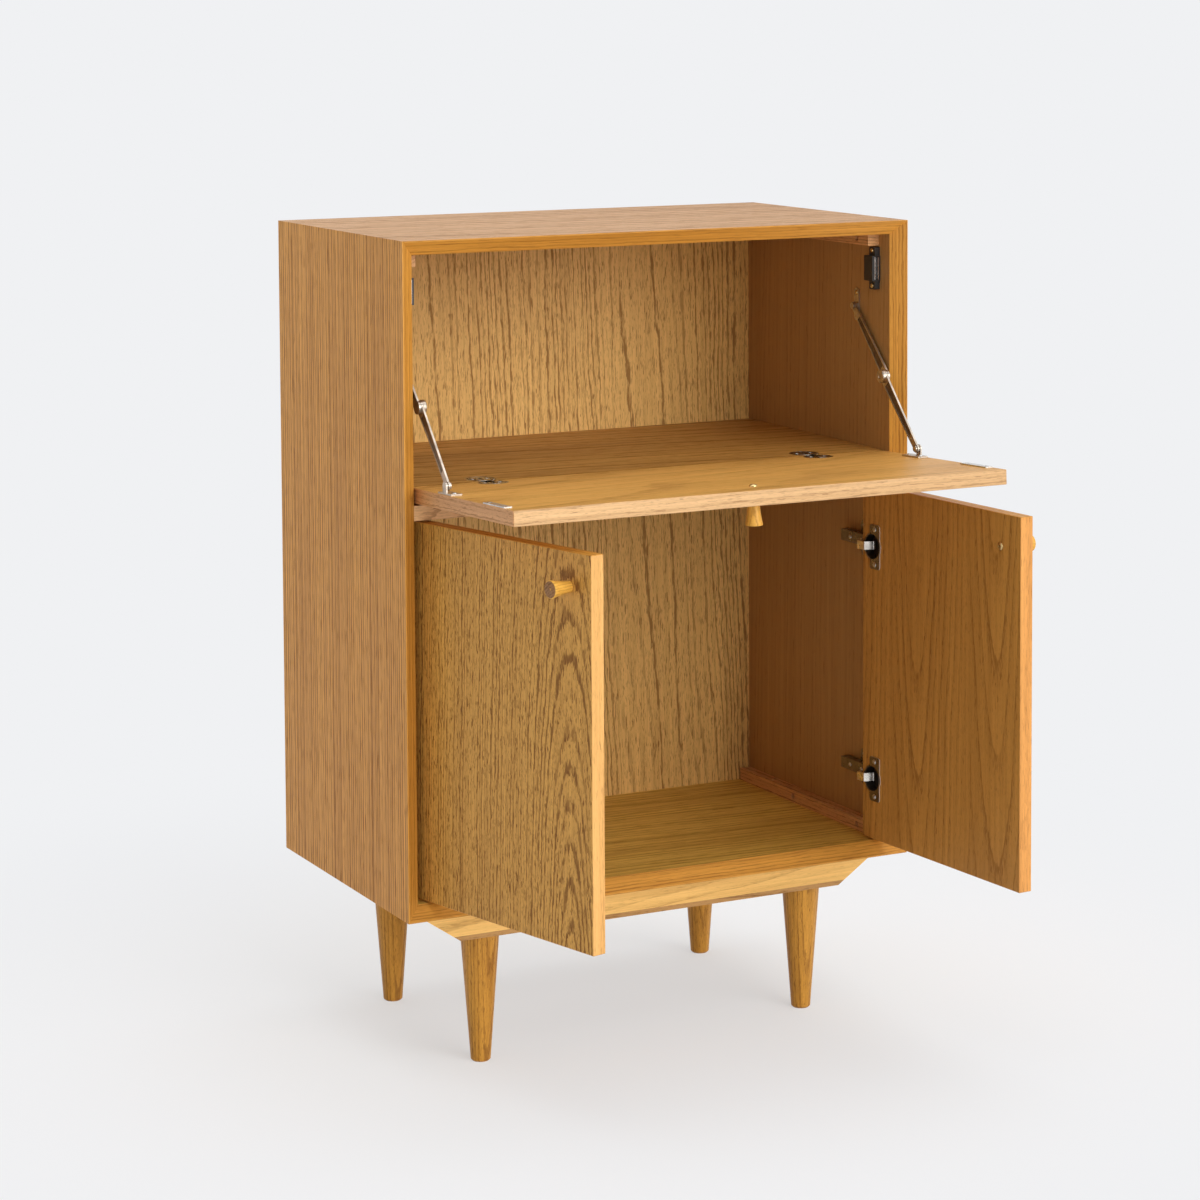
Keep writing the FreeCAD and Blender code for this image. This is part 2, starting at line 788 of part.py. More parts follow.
def stay_foot():
    """Right stay foot: plate on the flap, upright tab, pin and rivet head."""
    outer = foot_outer_x()
    tab_inner = outer - foot_tab
    middle = flap_place(0, foot_pivot_along_flap, 0)
    plate = block(outer - foot_width, outer, middle.y - foot_length / 2,
                  middle.y + foot_length / 2, shelf_top, shelf_top + foot_plate)
    pivot_z = shelf_top + foot_pivot_height
    tab = joined(block(tab_inner, outer, middle.y - foot_tab_half, middle.y + foot_tab_half,
                       shelf_top, pivot_z),
                 rod(foot_tab_half, V(outer, middle.y, pivot_z), LEFTWARD, foot_tab))
    _, arm_outer = arm_planes()
    pivot = V(tab_inner, middle.y, pivot_z)
    collar = rod(stay_head_radius, pivot, LEFTWARD, tab_inner - arm_outer - running_gap)
    head_x = arm_outer - arm_thickness - running_gap
    pin = rod(stay_pin_radius, pivot, LEFTWARD, tab_inner - head_x)
    head = rod(stay_head_radius, V(head_x, middle.y, pivot_z), LEFTWARD, stay_head)
    holes = [small_hole(outer - foot_width / 2, middle.y + step, shelf_top, UPWARD,
                        foot_plate) for step in (-foot_screw_spread, foot_screw_spread)]
    return joined(plate, tab, collar, pin, head).cut(holes)


# --- doors, drawn closed on the left and then opened ------------------------------
def door_place(from_edge, behind_face, z):
    """Point on the closed left door, from its hinge edge and its outer face."""
    return V(-door_edge_x + from_edge, front_face_y + behind_face, z)


def door_opened(shape, side):
    """Left door's piece, mirrored for the right door, turned to that door's rest."""
    if side == "right":
        return turned(mirrored(shape), V(door_axis_x, door_axis_y, 0), UPWARD,
                      right_door_open)
    return turned(shape, V(-door_axis_x, door_axis_y, 0), UPWARD, -left_door_open)


def door_panel():
    """Left door with eased edges, recesses for its cups and a hole for its knob."""
    slab = block(-door_edge_x, -door_edge_x + door_width, front_face_y, closed_inner_y,
                 door_bottom, door_top)
    slab = slab.makeChamfer(edge_ease, slab.Edges)
    tools = [screw_bore(door_knob_seat(), BACKWARD, knob_screw_radius, board)]
    for z in door_hinge_heights:
        tools.append(rod(cup_radius + pocket_play, door_place(cup_from_edge, board, z),
                         FORWARD, cup_depth + pocket_play))
    return slab.cut(tools)


def door_knob_seat():
    """Centre of the left door knob's base on the outer face."""
    return door_place(door_width - knob_from_free_edge, 0, door_top - door_knob_below_top)


def door_cup(z):
    """Hinge cup of the left door: shell, rim and screw flange."""
    centre = door_place(cup_from_edge, board, z)
    shell = rod(cup_radius, centre, FORWARD, cup_depth)
    rim = rod(cup_radius + cup_rim, centre, BACKWARD, cup_rim_height)
    middle = door_place(cup_flange_from_edge, board, z)
    half = cup_flange_width / 2
    flange = block(middle.x - half, middle.x + half, middle.y, middle.y + cup_flange,
                   z - cup_flange_length / 2, z + cup_flange_length / 2)
    corners = [edge for edge in flange.Edges if edge.BoundBox.YLength > cup_flange / 2]
    flange = flange.makeFillet(cup_flange_corner, corners)
    hollow = rod(cup_radius - cup_wall, centre + BACKWARD * cup_flange, FORWARD,
                 cup_flange + cup_depth - cup_floor)
    return joined(shell, rim, flange).cut(hollow)


# --- concealed hinge arms on the side walls ---------------------------------------
def link_pivot():
    """Front pivot of the left hinge arms as (x, y)."""
    return -inner_half + link_pivot_off_wall, closed_inner_y + link_pivot_behind_door


def hinge_plate_piece(z):
    """Winged mounting plate of a left hinge."""
    wing_end = hinge_plate_wing - hinge_plate_wing_half
    wing_y = closed_inner_y + hinge_plate_behind_door
    wings = rounded_bar(V(-inner_half, wing_y, z - wing_end),
                        V(-inner_half, wing_y, z + wing_end),
                        hinge_plate_wing_half, RIGHTWARD * hinge_plate)
    _, front = link_pivot()
    half = hinge_arm_width / 2 - hinge_arm_sheet
    spine = block(-inner_half, -inner_half + hinge_plate, front + hinge_arm_roof_start,
                  front + hinge_arm_length, z - half, z + half)
    return joined(wings, spine)


def hinge_arm(z):
    """Channel arm of a left hinge over its plate, with the front pivot's pin."""
    x, y = link_pivot()
    low = -inner_half + hinge_plate
    high = -inner_half + hinge_arm_height
    half = hinge_arm_width / 2
    rear = y + hinge_arm_length
    side = [V(low, y + link_eye_radius, z - half), V(x - link_eye_radius, y, z - half),
            V(x + link_eye_radius, y, z - half),
            V(high, y + hinge_arm_roof_start - hinge_arm_sheet, z - half),
            V(high, rear, z - half), V(low, rear, z - half)]
    channel = joined(prism(side, UPWARD * hinge_arm_width),
                     rod(link_eye_radius, V(x, y, z - half), UPWARD, hinge_arm_width))
    inner = half - hinge_arm_sheet
    room = block(low - 1, high - hinge_arm_sheet, y + hinge_arm_roof_start, rear + 1,
                 z - inner, z + inner)
    mouth = block(low - 1, high + 1, y - hinge_arm_roof_start, y + hinge_arm_roof_start,
                  z - inner, z + inner)
    pin = rod(link_pivot_radius, V(x, y, z - half), UPWARD, hinge_arm_width)
    return joined(channel.cut([room, mouth]), pin)


def link_points():
    """Pivot, two knees and tip of the left links in the side-on hook, as (x, y)."""
    points = [link_pivot()]
    direction = link_direction
    for length, turn in ((link_reach, link_elbow_turn), (link_hook, link_tip_turn),
                         (link_tip, 0.0)):
        x, y = points[-1]
        angle = math.radians(direction)
        points.append((x + length * math.cos(angle), y + length * math.sin(angle)))
        direction -= turn
    return points


def hinge_link(z):
    """Hooked link of a left hinge, from the arm's pin round into the cup."""
    low = z - link_width / 2
    corners = [V(x, y, low) for x, y in link_points()]
    height = UPWARD * link_width
    strips = [rounded_bar(a, b, link_half_sheet, height)
              for a, b in zip(corners, corners[1:])]
    eye = rod(link_eye_radius, corners[0], UPWARD, link_width)
    tip = rod(link_tip_radius, corners[-1], UPWARD, link_width)
    hole = rod(link_pivot_radius + pin_running_play, corners[0], UPWARD, link_width)
    return joined(eye, tip, *strips).cut(hole)


def link_set(side):
    """Both links of a door, turned with it to its rest."""
    x, y = link_pivot()
    opened = right_door_open if side == "right" else left_door_open
    back_turn = link_ratio * (link_drawn_at - opened)
    links = [turned(hinge_link(z), V(x, y, 0), UPWARD, back_turn)
             for z in door_hinge_heights]
    return [mirrored(link) for link in links] if side == "right" else links


# --- magnetic catches -------------------------------------------------------------
def catch_middle_x():
    """Middle of the left catch's body."""
    return -inner_half + catch_body_width / 2


def catch_housing():
    """Left catch: body with its pocket for magnet and poles, and two screw ears."""
    half = catch_body_height / 2
    body = block(-inner_half, -inner_half + catch_body_width, catch_front_y,
                 catch_front_y + catch_body_depth, catch_z - half, catch_z + half)
    ear_y = catch_front_y + catch_ear_behind + catch_ear_depth / 2
    ears = block(-inner_half, -inner_half + catch_ear_thickness, ear_y - catch_ear_depth / 2,
                 ear_y + catch_ear_depth / 2, catch_z - catch_ear_height / 2,
                 catch_z + catch_ear_height / 2)
    corners = [edge for edge in ears.Edges if edge.BoundBox.XLength > catch_ear_thickness / 2]
    ears = ears.makeFillet(catch_ear_corner, corners)
    reach = magnet_thickness / 2 + pole_thickness + catch_pocket_play
    tall = pole_height / 2 + catch_pocket_play
    x = catch_middle_x()
    pocket = block(x - reach, x + reach, catch_front_y,
                   catch_front_y + pole_depth - pole_proud + catch_pocket_play,
                   catch_z - tall, catch_z + tall)
    holes = [small_hole(-inner_half, ear_y, catch_z + sign * catch_screw_spread, RIGHTWARD,
                        catch_ear_thickness) for sign in (-1, 1)]
    return joined(body, ears).cut([pocket] + holes)


def pole_plates():
    """The left catch's two steel plates, one on each side of its magnet."""
    front = catch_front_y - pole_proud
    plates = []
    for sign in (-1, 1):
        near = catch_middle_x() + sign * magnet_thickness / 2
        far = near + sign * pole_thickness
        plates.append(block(min(near, far), max(near, far), front, front + pole_depth,
                            catch_z - pole_height / 2, catch_z + pole_height / 2))
    return plates


def catch_magnet():
    """Magnet between the left catch's plates."""
    x = catch_middle_x()
    return block(x - magnet_thickness / 2, x + magnet_thickness / 2,
                 catch_front_y + magnet_setback - pole_proud,
                 catch_front_y + pole_depth - pole_proud,
                 catch_z - magnet_height / 2, catch_z + magnet_height / 2)


# --- the whole cabinet ------------------------------------------------------------
def save_case():
    """Boards, shelf, rail and cleats of the fixed case."""
    left = side_panel()
    save("left_side_panel", left)
    save("right_side_panel", mirrored(left))
    save("top_panel", top_panel())
    save("bottom_panel", bottom_panel())
    save("back_panel", back_panel())
    save("fixed_shelf", fixed_shelf())
    save("shelf_front_rail", front_rail())
    batten = cleat()
    save("top_left_cleat", batten)
    save("top_right_cleat", mirrored(batten))
    save("bottom_left_cleat", upside_down(batten))
    save("bottom_right_cleat", mirrored(upside_down(batten)))


def save_base():
    """Plinth, legs and what holds them."""
    front = plinth_front_rail()
    save("plinth_front_rail", front)
    save("plinth_back_rail", front.mirror(V(0, 0, 0), BACKWARD))
    end = plinth_left_rail()
    save("plinth_left_rail", end)
    save("plinth_right_rail", mirrored(end))
    save("plinth_bottom_board", plinth_board())
    save("plinth_corner_blocks", *corner_blocks())
    names = ("front_left_leg", "back_left_leg", "front_right_leg", "back_right_leg")
    for name, (x, y) in zip(names, leg_places()):
        save(name, leg(x, y))
    save("leg_bolts", *[leg_bolt(x, y) for x, y in leg_places()])


def save_fittings():
    """Hinge, stay and catch pieces that stay with the case."""
    save("flap_hinge_shelf_cups", *both_sides(shelf_cup()))
    save("stay_wall_brackets", *both_sides(wall_bracket()))
    save("magnet_catches", *both_sides(catch_housing()))
    save("catch_pole_plates", *[p for plate in pole_plates() for p in both_sides(plate)])
    save("catch_magnets", *both_sides(catch_magnet()))
    plates = [hinge_plate_piece(z) for z in door_hinge_heights]
    save("door_hinge_plates", *[p for plate in plates for p in both_sides(plate)])
    arms = [hinge_arm(z) for z in door_hinge_heights]
    save("door_hinge_arms", *[piece for arm in arms for piece in both_sides(arm)])


def save_flap():
    """The drop flap with its fittings, at its open rest."""
    save("flap_panel", flap_tilted(flap_panel()))
    save("flap_knob", flap_tilted(knob(knob_seat(), DOWNWARD)))
    save("flap_knob_screw", flap_tilted(knob_screw(knob_seat(), DOWNWARD)))
    save("flap_hinge_flap_cups", *[flap_tilted(cup) for cup in both_sides(flap_cup())])
    save("flap_hinge_pins", *[flap_tilted(pin) for pin in both_sides(flap_hinge_pin())])
    save("strike_plates", *[flap_tilted(plate) for plate in both_sides(strike_plate())])
    save("stay_feet", *[flap_tilted(foot) for foot in both_sides(stay_foot())])


def save_stays():
    """Both arms and the elbow rivet of each stay, straight."""
    pieces = {"upper_arm": upper_arm(), "lower_arm": lower_arm(), "elbow_rivet": elbow_rivet()}
    for name, piece in pieces.items():
        save(f"right_stay_{name}", piece)
        save(f"left_stay_{name}", mirrored(piece))


def save_door(side):
    """One door with its knob and hinge cups, and its links, at its open rest."""
    seat = door_knob_seat()
    save(f"{side}_door_panel", door_opened(door_panel(), side))
    save(f"{side}_door_knob", door_opened(knob(seat, FORWARD), side))
    save(f"{side}_door_knob_screw", door_opened(knob_screw(seat, FORWARD), side))
    save(f"{side}_door_hinge_cups",
         *[door_opened(door_cup(z), side) for z in door_hinge_heights])
    save(f"{side}_door_hinge_links", *link_set(side))


def main():
    """Write every piece of the cabinet."""
    os.makedirs("parts", exist_ok=True)
    save_case()
    save_base()
    save_fittings()
    save_flap()
    save_stays()
    save_door("left")
    save_door("right")


main()
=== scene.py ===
"""Finishes and small fittings of a wall-side bar cabinet with a drop flap and two doors.

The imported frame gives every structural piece. This file dresses the boards in oak and the
metal in nickel, steel and brass, adds the knobs, screws and other small fittings, and sets
up a plain studio. Metres, origin on the floor under the middle of the case, +Z up.
"""
import math
from functools import cache

import bmesh
import bpy
from bpy.props import FloatProperty, FloatVectorProperty, PointerProperty
from mathutils import Euler, Matrix, Vector


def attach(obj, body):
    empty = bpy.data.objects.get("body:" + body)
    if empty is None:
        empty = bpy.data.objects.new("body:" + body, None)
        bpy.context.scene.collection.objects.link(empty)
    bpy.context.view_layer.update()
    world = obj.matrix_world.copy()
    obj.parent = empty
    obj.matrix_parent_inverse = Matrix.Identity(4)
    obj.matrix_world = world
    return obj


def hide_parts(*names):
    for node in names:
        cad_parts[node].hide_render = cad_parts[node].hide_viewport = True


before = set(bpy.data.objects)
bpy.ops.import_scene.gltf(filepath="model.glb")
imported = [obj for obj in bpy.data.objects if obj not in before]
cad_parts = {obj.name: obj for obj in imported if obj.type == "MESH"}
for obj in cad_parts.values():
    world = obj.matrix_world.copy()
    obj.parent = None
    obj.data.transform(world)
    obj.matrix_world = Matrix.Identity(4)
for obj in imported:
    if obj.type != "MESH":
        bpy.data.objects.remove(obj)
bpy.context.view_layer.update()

bl_info = {
    "name": "Bar cabinet finishes",
    "version": (1, 0, 0),
    "blender": (4, 5, 0),
    "location": "View3D > Sidebar > Cabinet",
    "description": "Oak, metal fittings and studio for a bar cabinet with a drop flap",
    "category": "Object",
}

MM = 0.001
SIDES = {"left": -1, "right": 1}


# --- what a user may change -------------------------------------------------------
def tone(name, description, *values):
    """Colour setting, from 0 to 255 screen values or, where none is over 1, linear ones."""
    def linear(value):
        value /= 255
        return value / 12.92 if value <= 0.04045 else ((value + 0.055) / 1.055) ** 2.4

    if max(values) > 1:
        values = tuple(map(linear, values))
    return FloatVectorProperty(name=name, description=description, default=values,
                               subtype="COLOR", size=3, min=0, max=1)


def mm(name, description, value):
    """Length setting, from millimetres."""
    return FloatProperty(name=name, description=description, default=value * MM,
                         unit="LENGTH", subtype="DISTANCE", precision=5)


def angle(name, description, value):
    """Angle setting, from radians."""
    return FloatProperty(name=name, description=description, default=value,
                         unit="ROTATION", subtype="ANGLE")


def number(name, description, value):
    """Plain setting."""
    return FloatProperty(name=name, description=description, default=value)


class CabinetColours(bpy.types.PropertyGroup):
    """Middle colour of each finish; some also hold painted light and shade, as noted beside
    them.
    """
    # Side boards: oak with painted shade in it, deep orange and low in blue like a board in
    # shade.
    side: tone("Side boards", "Outside of both side boards", 222, 157, 63)
    top: tone("Top board", "Upper face of the top board", 206, 156, 99)
    bevel: tone("Bevels and rims", "Slanted edges of the case, ends of the doors", 212, 151, 63)
    inside: tone("Inside boards", "Inner faces of the case, board under it", 181, 138, 83)
    # Floor and shelf are one oak: the floor's colour is lifted by painted light, the shelf's
    # darkened by painted shade.
    floor: tone("Floor", "Inner faces of top and bottom board", 243, 201, 99)
    shelf: tone("Shelf", "Fixed shelf", 195, 146, 74)
    back: tone("Back", "Flat-sawn back panel", 230, 187, 111)
    flap: tone("Flap", "Both faces of the drop flap", 222, 168, 87)
    door: tone("Doors", "Outer faces of the doors", 211, 158, 75)
    door_inside: tone("Door inside", "Inner faces of the doors", 197, 142, 67)
    # One edge strip in two tints: the left is lighter by painted light, the right darker by
    # painted shade.
    left_edge: tone("Left edges", "Edge strips of the left door", 238, 182, 108)
    right_edge: tone("Right edges", "Edge strips of the right door", 228, 161, 86)
    flap_edge: tone("Flap edge", "Edge strips of the flap", 223, 181, 130)
    flap_end: tone("Flap ends", "Ends of the flap", 215, 159, 105)
    plinth: tone("Plinth", "Solid rails under the case", 237, 191, 112)
    leg: tone("Legs", "Turned legs", 201, 145, 57)
    knob: tone("Knobs", "Turned knobs", 236, 180, 80)
    knob_end: tone("Knob ends", "End grain of the knobs", 158, 116, 76)
    cleat: tone("Cleats", "Corner battens", 223, 171, 117)
    # Rail: the cleats' oak made lighter, painted light against the shadow of the flap.
    rail: tone("Rail", "Rail under the fixed shelf", 234, 188, 134)
    nickel: tone("Nickel", "Links of the doors' hinges", 0.86, 0.82, 0.76)
    # Arms, plates and flanges: the links' nickel made darker, painted shade.
    arm: tone("Dull nickel", "Arms, plates and flanges of the hinges", 0.25, 0.225, 0.20)
    # Flange edges: nickel made brighter, a painted highlight.
    rim: tone("Highlight edges", "Edges of the hinges' flanges", 0.95, 0.92, 0.87)
    # Cup wells: nickel made near black, painted shade inside the cups.
    well: tone("Cup wells", "Insides of the hinges' cups", 0.16, 0.14, 0.12)
    bronze: tone("Bronzed nickel", "Folding stays", 0.56, 0.49, 0.41)
    # Hinge discs: steel made dark and warm, a painted reflection of the brown inside.
    disc: tone("Hinge discs", "Flush discs of the flap hinges", 0.30, 0.27, 0.23)
    # Stay webs: bronze made darker, painted shade in the sunk faces.
    web: tone("Stay webs", "Sunk faces of the stays' arms", 0.20, 0.16, 0.12)
    steel: tone("Plated steel", "Strikes, pins, bolts and most screws", 0.68, 0.67, 0.65)
    brass: tone("Brass", "Screws of knobs, catches and brackets", 0.80, 0.60, 0.28)
    plastic: tone("Catch plastic", "Bodies of the catches", 0.018, 0.017, 0.017)
    magnet: tone("Magnet", "Magnets of the catches", 0.035, 0.033, 0.032)


class CabinetPlaces(bpy.types.PropertyGroup):
    """Lines and angles that the frame was built to, which the new fittings follow."""
    inner_half: mm("Half room width", "Middle to a side board", 327)
    room_top: mm("Room top", "Under side of the top board", 992)
    room_floor: mm("Room floor", "Upper side of the bottom board", 218)
    flap_axis_y: mm("Flap axis depth", "Turning axis of the flap", -175.5)
    flap_axis_z: mm("Flap axis height", "Turning axis of the flap", 707)
    flap_tilt: angle("Flap tilt", "Open flap above level", math.radians(2.4))
    flap_length: mm("Flap length", "Hinged end to free end", 292)
    flap_heel_y: mm("Flap heel", "Hinged end of the level flap", -166.5)
    shelf_top: mm("Shelf top", "Upper face of the shelf", 716)
    board: mm("Board", "Thickness of every board", 18)
    door_edge: mm("Door edge", "Middle to a door's hinged edge", 325.5)
    door_width: mm("Door width", "Hinged edge to free edge", 324.5)
    door_axis_x: mm("Door axis across", "Turning axis of a door", 313)
    door_axis_y: mm("Door axis depth", "Turning axis of a door", -180)
    door_face_y: mm("Door face", "Outer face of a closed door", -184.5)
    left_open: angle("Left door", "How far the left door stands open", math.radians(76))
    right_open: angle("Right door", "How far the right door stands open", math.radians(94.2))
    cup_in: mm("Hinge cup", "Hinged edge to the middle of a hinge's cup", 21.5)
    cup_bore: mm("Cup bore", "Inner radius of a hinge's cup", 15.9)
    flange: mm("Flange", "Thickness of a hinge's flange", 1.2)
    flange_screw_in: mm("Flange screws", "Hinged edge to a flange's screws", 27)
    low_hinge: mm("Lower hinge", "Height of the lower door hinges", 299)
    high_hinge: mm("Upper hinge", "Height of the upper door hinges", 597)
    catch_z: mm("Catch", "Height of the catches", 947)
    stay_y: mm("Stay pivot depth", "Wall pivot of the stays", -107.3)
    stay_z: mm("Stay pivot height", "Wall pivot of the stays", 895.1)
    foot_along: mm("Stay foot", "Foot pivot from the flap's heel", 99.3)
    leg_x: mm("Legs across", "Middle to a leg", 225)
    leg_y: mm("Legs deep", "Middle to a leg, front or back", 137)
    flap_hinge_x: mm("Flap hinges", "Middle to a flap hinge", 224)
    shelf_disc_y: mm("Shelf disc", "Depth of the discs in the shelf", -148.25)
    flap_disc_y: mm("Flap disc", "Depth of the discs in the level flap", -184.5)
    upper_web: mm("Upper web", "Middle to the room side web of the upper arms", 321.1)
    lower_web: mm("Lower web", "Middle to the room side web of the lower arms", 317.7)


class CabinetSizes(bpy.types.PropertyGroup):
    """Sizes of the knobs and screws."""
    knob_length: mm("Knob length", "Base to end", 28)
    knob_base: mm("Knob base", "Radius at the board", 7)
    knob_end: mm("Knob end", "Largest radius", 10.5)
    knob_inset: mm("Knob inset", "From a free edge", 39)
    door_knob_z: mm("Door knob height", "Above the floor", 635)
    knob_screw_head: mm("Knob screw head", "Radius of the head", 4.75)
    cleat_screw: mm("Cleat screw", "Head radius in the cleats", 3.6)
    plate_screw: mm("Plate screw", "Head radius on plates", 2.9)
    strike_screw: mm("Strike screw", "Head radius in the strikes", 2.5)
    disc_ring: mm("Disc ring", "Outer radius of the ring pressed in a disc", 16.6)
    disc_groove: mm("Disc groove", "Width of the ring pressed in a disc", 1.3)
    disc_screw: mm("Disc screw", "Head radius of a disc's two screws", 3.4)
    disc_screw_out: mm("Disc screw place", "Middle of a disc to its screws", 9.6)


class CabinetStudio(bpy.types.PropertyGroup):
    """Camera, floor and lamps."""
    camera_x: mm("Camera across", "Place of the camera", -1853.57)
    camera_y: mm("Camera depth", "Place of the camera", -3750.78)
    camera_z: mm("Camera height", "Place of the camera", 1305.43)
    yaw: angle("Yaw", "Turn to the right", 0.4789)
    pitch: angle("Pitch", "Lift of the view", -0.0777)
    roll: angle("Roll", "Lean of the view", -0.0041)
    focal: number("Focal length", "In picture sides", 3316.26 / 1200)
    centre_x: number("Centre across", "Axis from the picture's left", 657.56 / 1200)
    centre_y: number("Centre down", "Axis from the picture's top", 243.81 / 1200)
    backdrop: tone("Backdrop", "Floor and background", 240, 241, 243)
    floor_glow: tone("Floor glow", "Backdrop's share of the floor", 251, 251, 252)
    plain_from: mm("Plain floor from", "Shadows fade out from here", 350)
    plain_to: mm("Plain floor to", "Nothing but backdrop past here", 1450)
    glow_share: number("Glow share", "How far shadows are lightened", 0.5)
    key: number("Key lamp", "Strength of the main lamp", 2.5)
    overhead: number("Top lamp", "Strength of the upper lamp", 1.1)
    sky: number("Fill", "Strength of the even light", 0.5)


SETTINGS = {"colours": CabinetColours, "places": CabinetPlaces, "sizes": CabinetSizes,
            "studio": CabinetStudio}


def settings(part):
    """One of the four groups of settings of this scene."""
    return getattr(bpy.context.scene, "cabinet_" + part)


# --- node wiring ------------------------------------------------------------------
class Wiring:
    """Short words for placing nodes in one tree and joining them."""

    def __init__(self, tree):
        self.tree = tree

    def place(self, kind, **choices):
        """New node with its choices made."""
        made = self.tree.nodes.new(kind if kind.startswith("Node") else "ShaderNode" + kind)
        for name, value in choices.items():
            setattr(made, name, value)
        return made

    def feed(self, socket, value):
        """Joins a socket to another one or sets its value."""
        if isinstance(value, bpy.types.NodeSocket):
            self.tree.links.new(value, socket)
        else:
            socket.default_value = value

    def fill(self, node, *values, **named):
        """Feeds a node's sockets in order or by name, and gives the node's outputs."""
        for socket, value in zip(node.inputs, values):
            self.feed(socket, value)
        for name, value in named.items():
            self.feed(node.inputs[name.replace("_", " ").title()], value)
        return node.outputs

    def math(self, operation, *values, clamp=False):
        return self.fill(self.place("Math", operation=operation, use_clamp=clamp), *values)[0]

    def plus(self, first, second):
        return self.math("ADD", first, second)

    def less(self, first, second):
        return self.math("SUBTRACT", first, second)

    def times(self, first, second):
        return self.math("MULTIPLY", first, second)

    def over(self, first, second):
        return self.math("DIVIDE", first, second)

    def onto(self, first, second, base, clamp=False):
        """First times second, on top of a base."""
        return self.math("MULTIPLY_ADD", first, second, base, clamp=clamp)

    def vector(self, x, y, z):
        return self.fill(self.place("CombineXYZ"), x, y, z)[0]

    def split(self, vector):
        """X, Y and Z of a vector."""
        return self.fill(self.place("SeparateXYZ"), vector)

    def stretch(self, vector, factors):
        """Vector times three factors."""
        return self.fill(self.place("VectorMath", operation="MULTIPLY"), vector, factors)[0]

    def noise(self, vector, scale=1.0, detail=2.0, roughness=0.5):
        return self.fill(self.place("TexNoise"), vector=vector, scale=scale, detail=detail,
                         roughness=roughness)["Fac"]

    def chance(self, number):
        """Random share of its own for each number."""
        return self.fill(self.place("TexWhiteNoise", noise_dimensions="1D"), w=number)["Value"]

    def ramp(self, value, low, high, to_low=0.0, to_high=1.0, smooth=True):
        """Value between two limits, eased or straight, put between two others."""
        made = self.place("MapRange", interpolation_type="SMOOTHSTEP" if smooth else "LINEAR")
        return self.fill(made, value, low, high, to_low, to_high)[0]

    def blend(self, share, first, second):
        """Two colours mixed."""
        made = self.place("Mix", data_type="RGBA")
        return self.fill(made, factor=share, a=first, b=second)["Result"]

    def mix(self, share, first, second):
        """Two shaders mixed."""
        return self.fill(self.place("MixShader"), share, first, second)[0]

    def bump(self, height, strength, distance):
        """Normal of a relief."""
        return self.fill(self.place("Bump"), strength=strength, distance=distance,
                         height=height)[0]


def rgba(colour, factors=(1, 1, 1)):
    """Colour times three factors, no channel over 1, with a full alpha."""
    return tuple(min(1.0, c * f) for c, f in zip(colour, factors)) + (1.0,)


def new_group(name, numbers, outputs):
    """Empty shader node group that takes a vector and some numbers with their defaults.

    It gives its tree, its wiring, what it is handed and its output node.
    """
    tree = bpy.data.node_groups.new(name, "ShaderNodeTree")
    tree.interface.new_socket("Vector", in_out="INPUT", socket_type="NodeSocketVector")
    for label, default in numbers.items():
        socket = tree.interface.new_socket(label, in_out="INPUT", socket_type="NodeSocketFloat")
        socket.default_value = default
    for label in outputs:
        tree.interface.new_socket(label, in_out="OUTPUT", socket_type="NodeSocketFloat")
    w = Wiring(tree)
    return tree, w, w.place("NodeGroupInput").outputs, w.place("NodeGroupOutput")


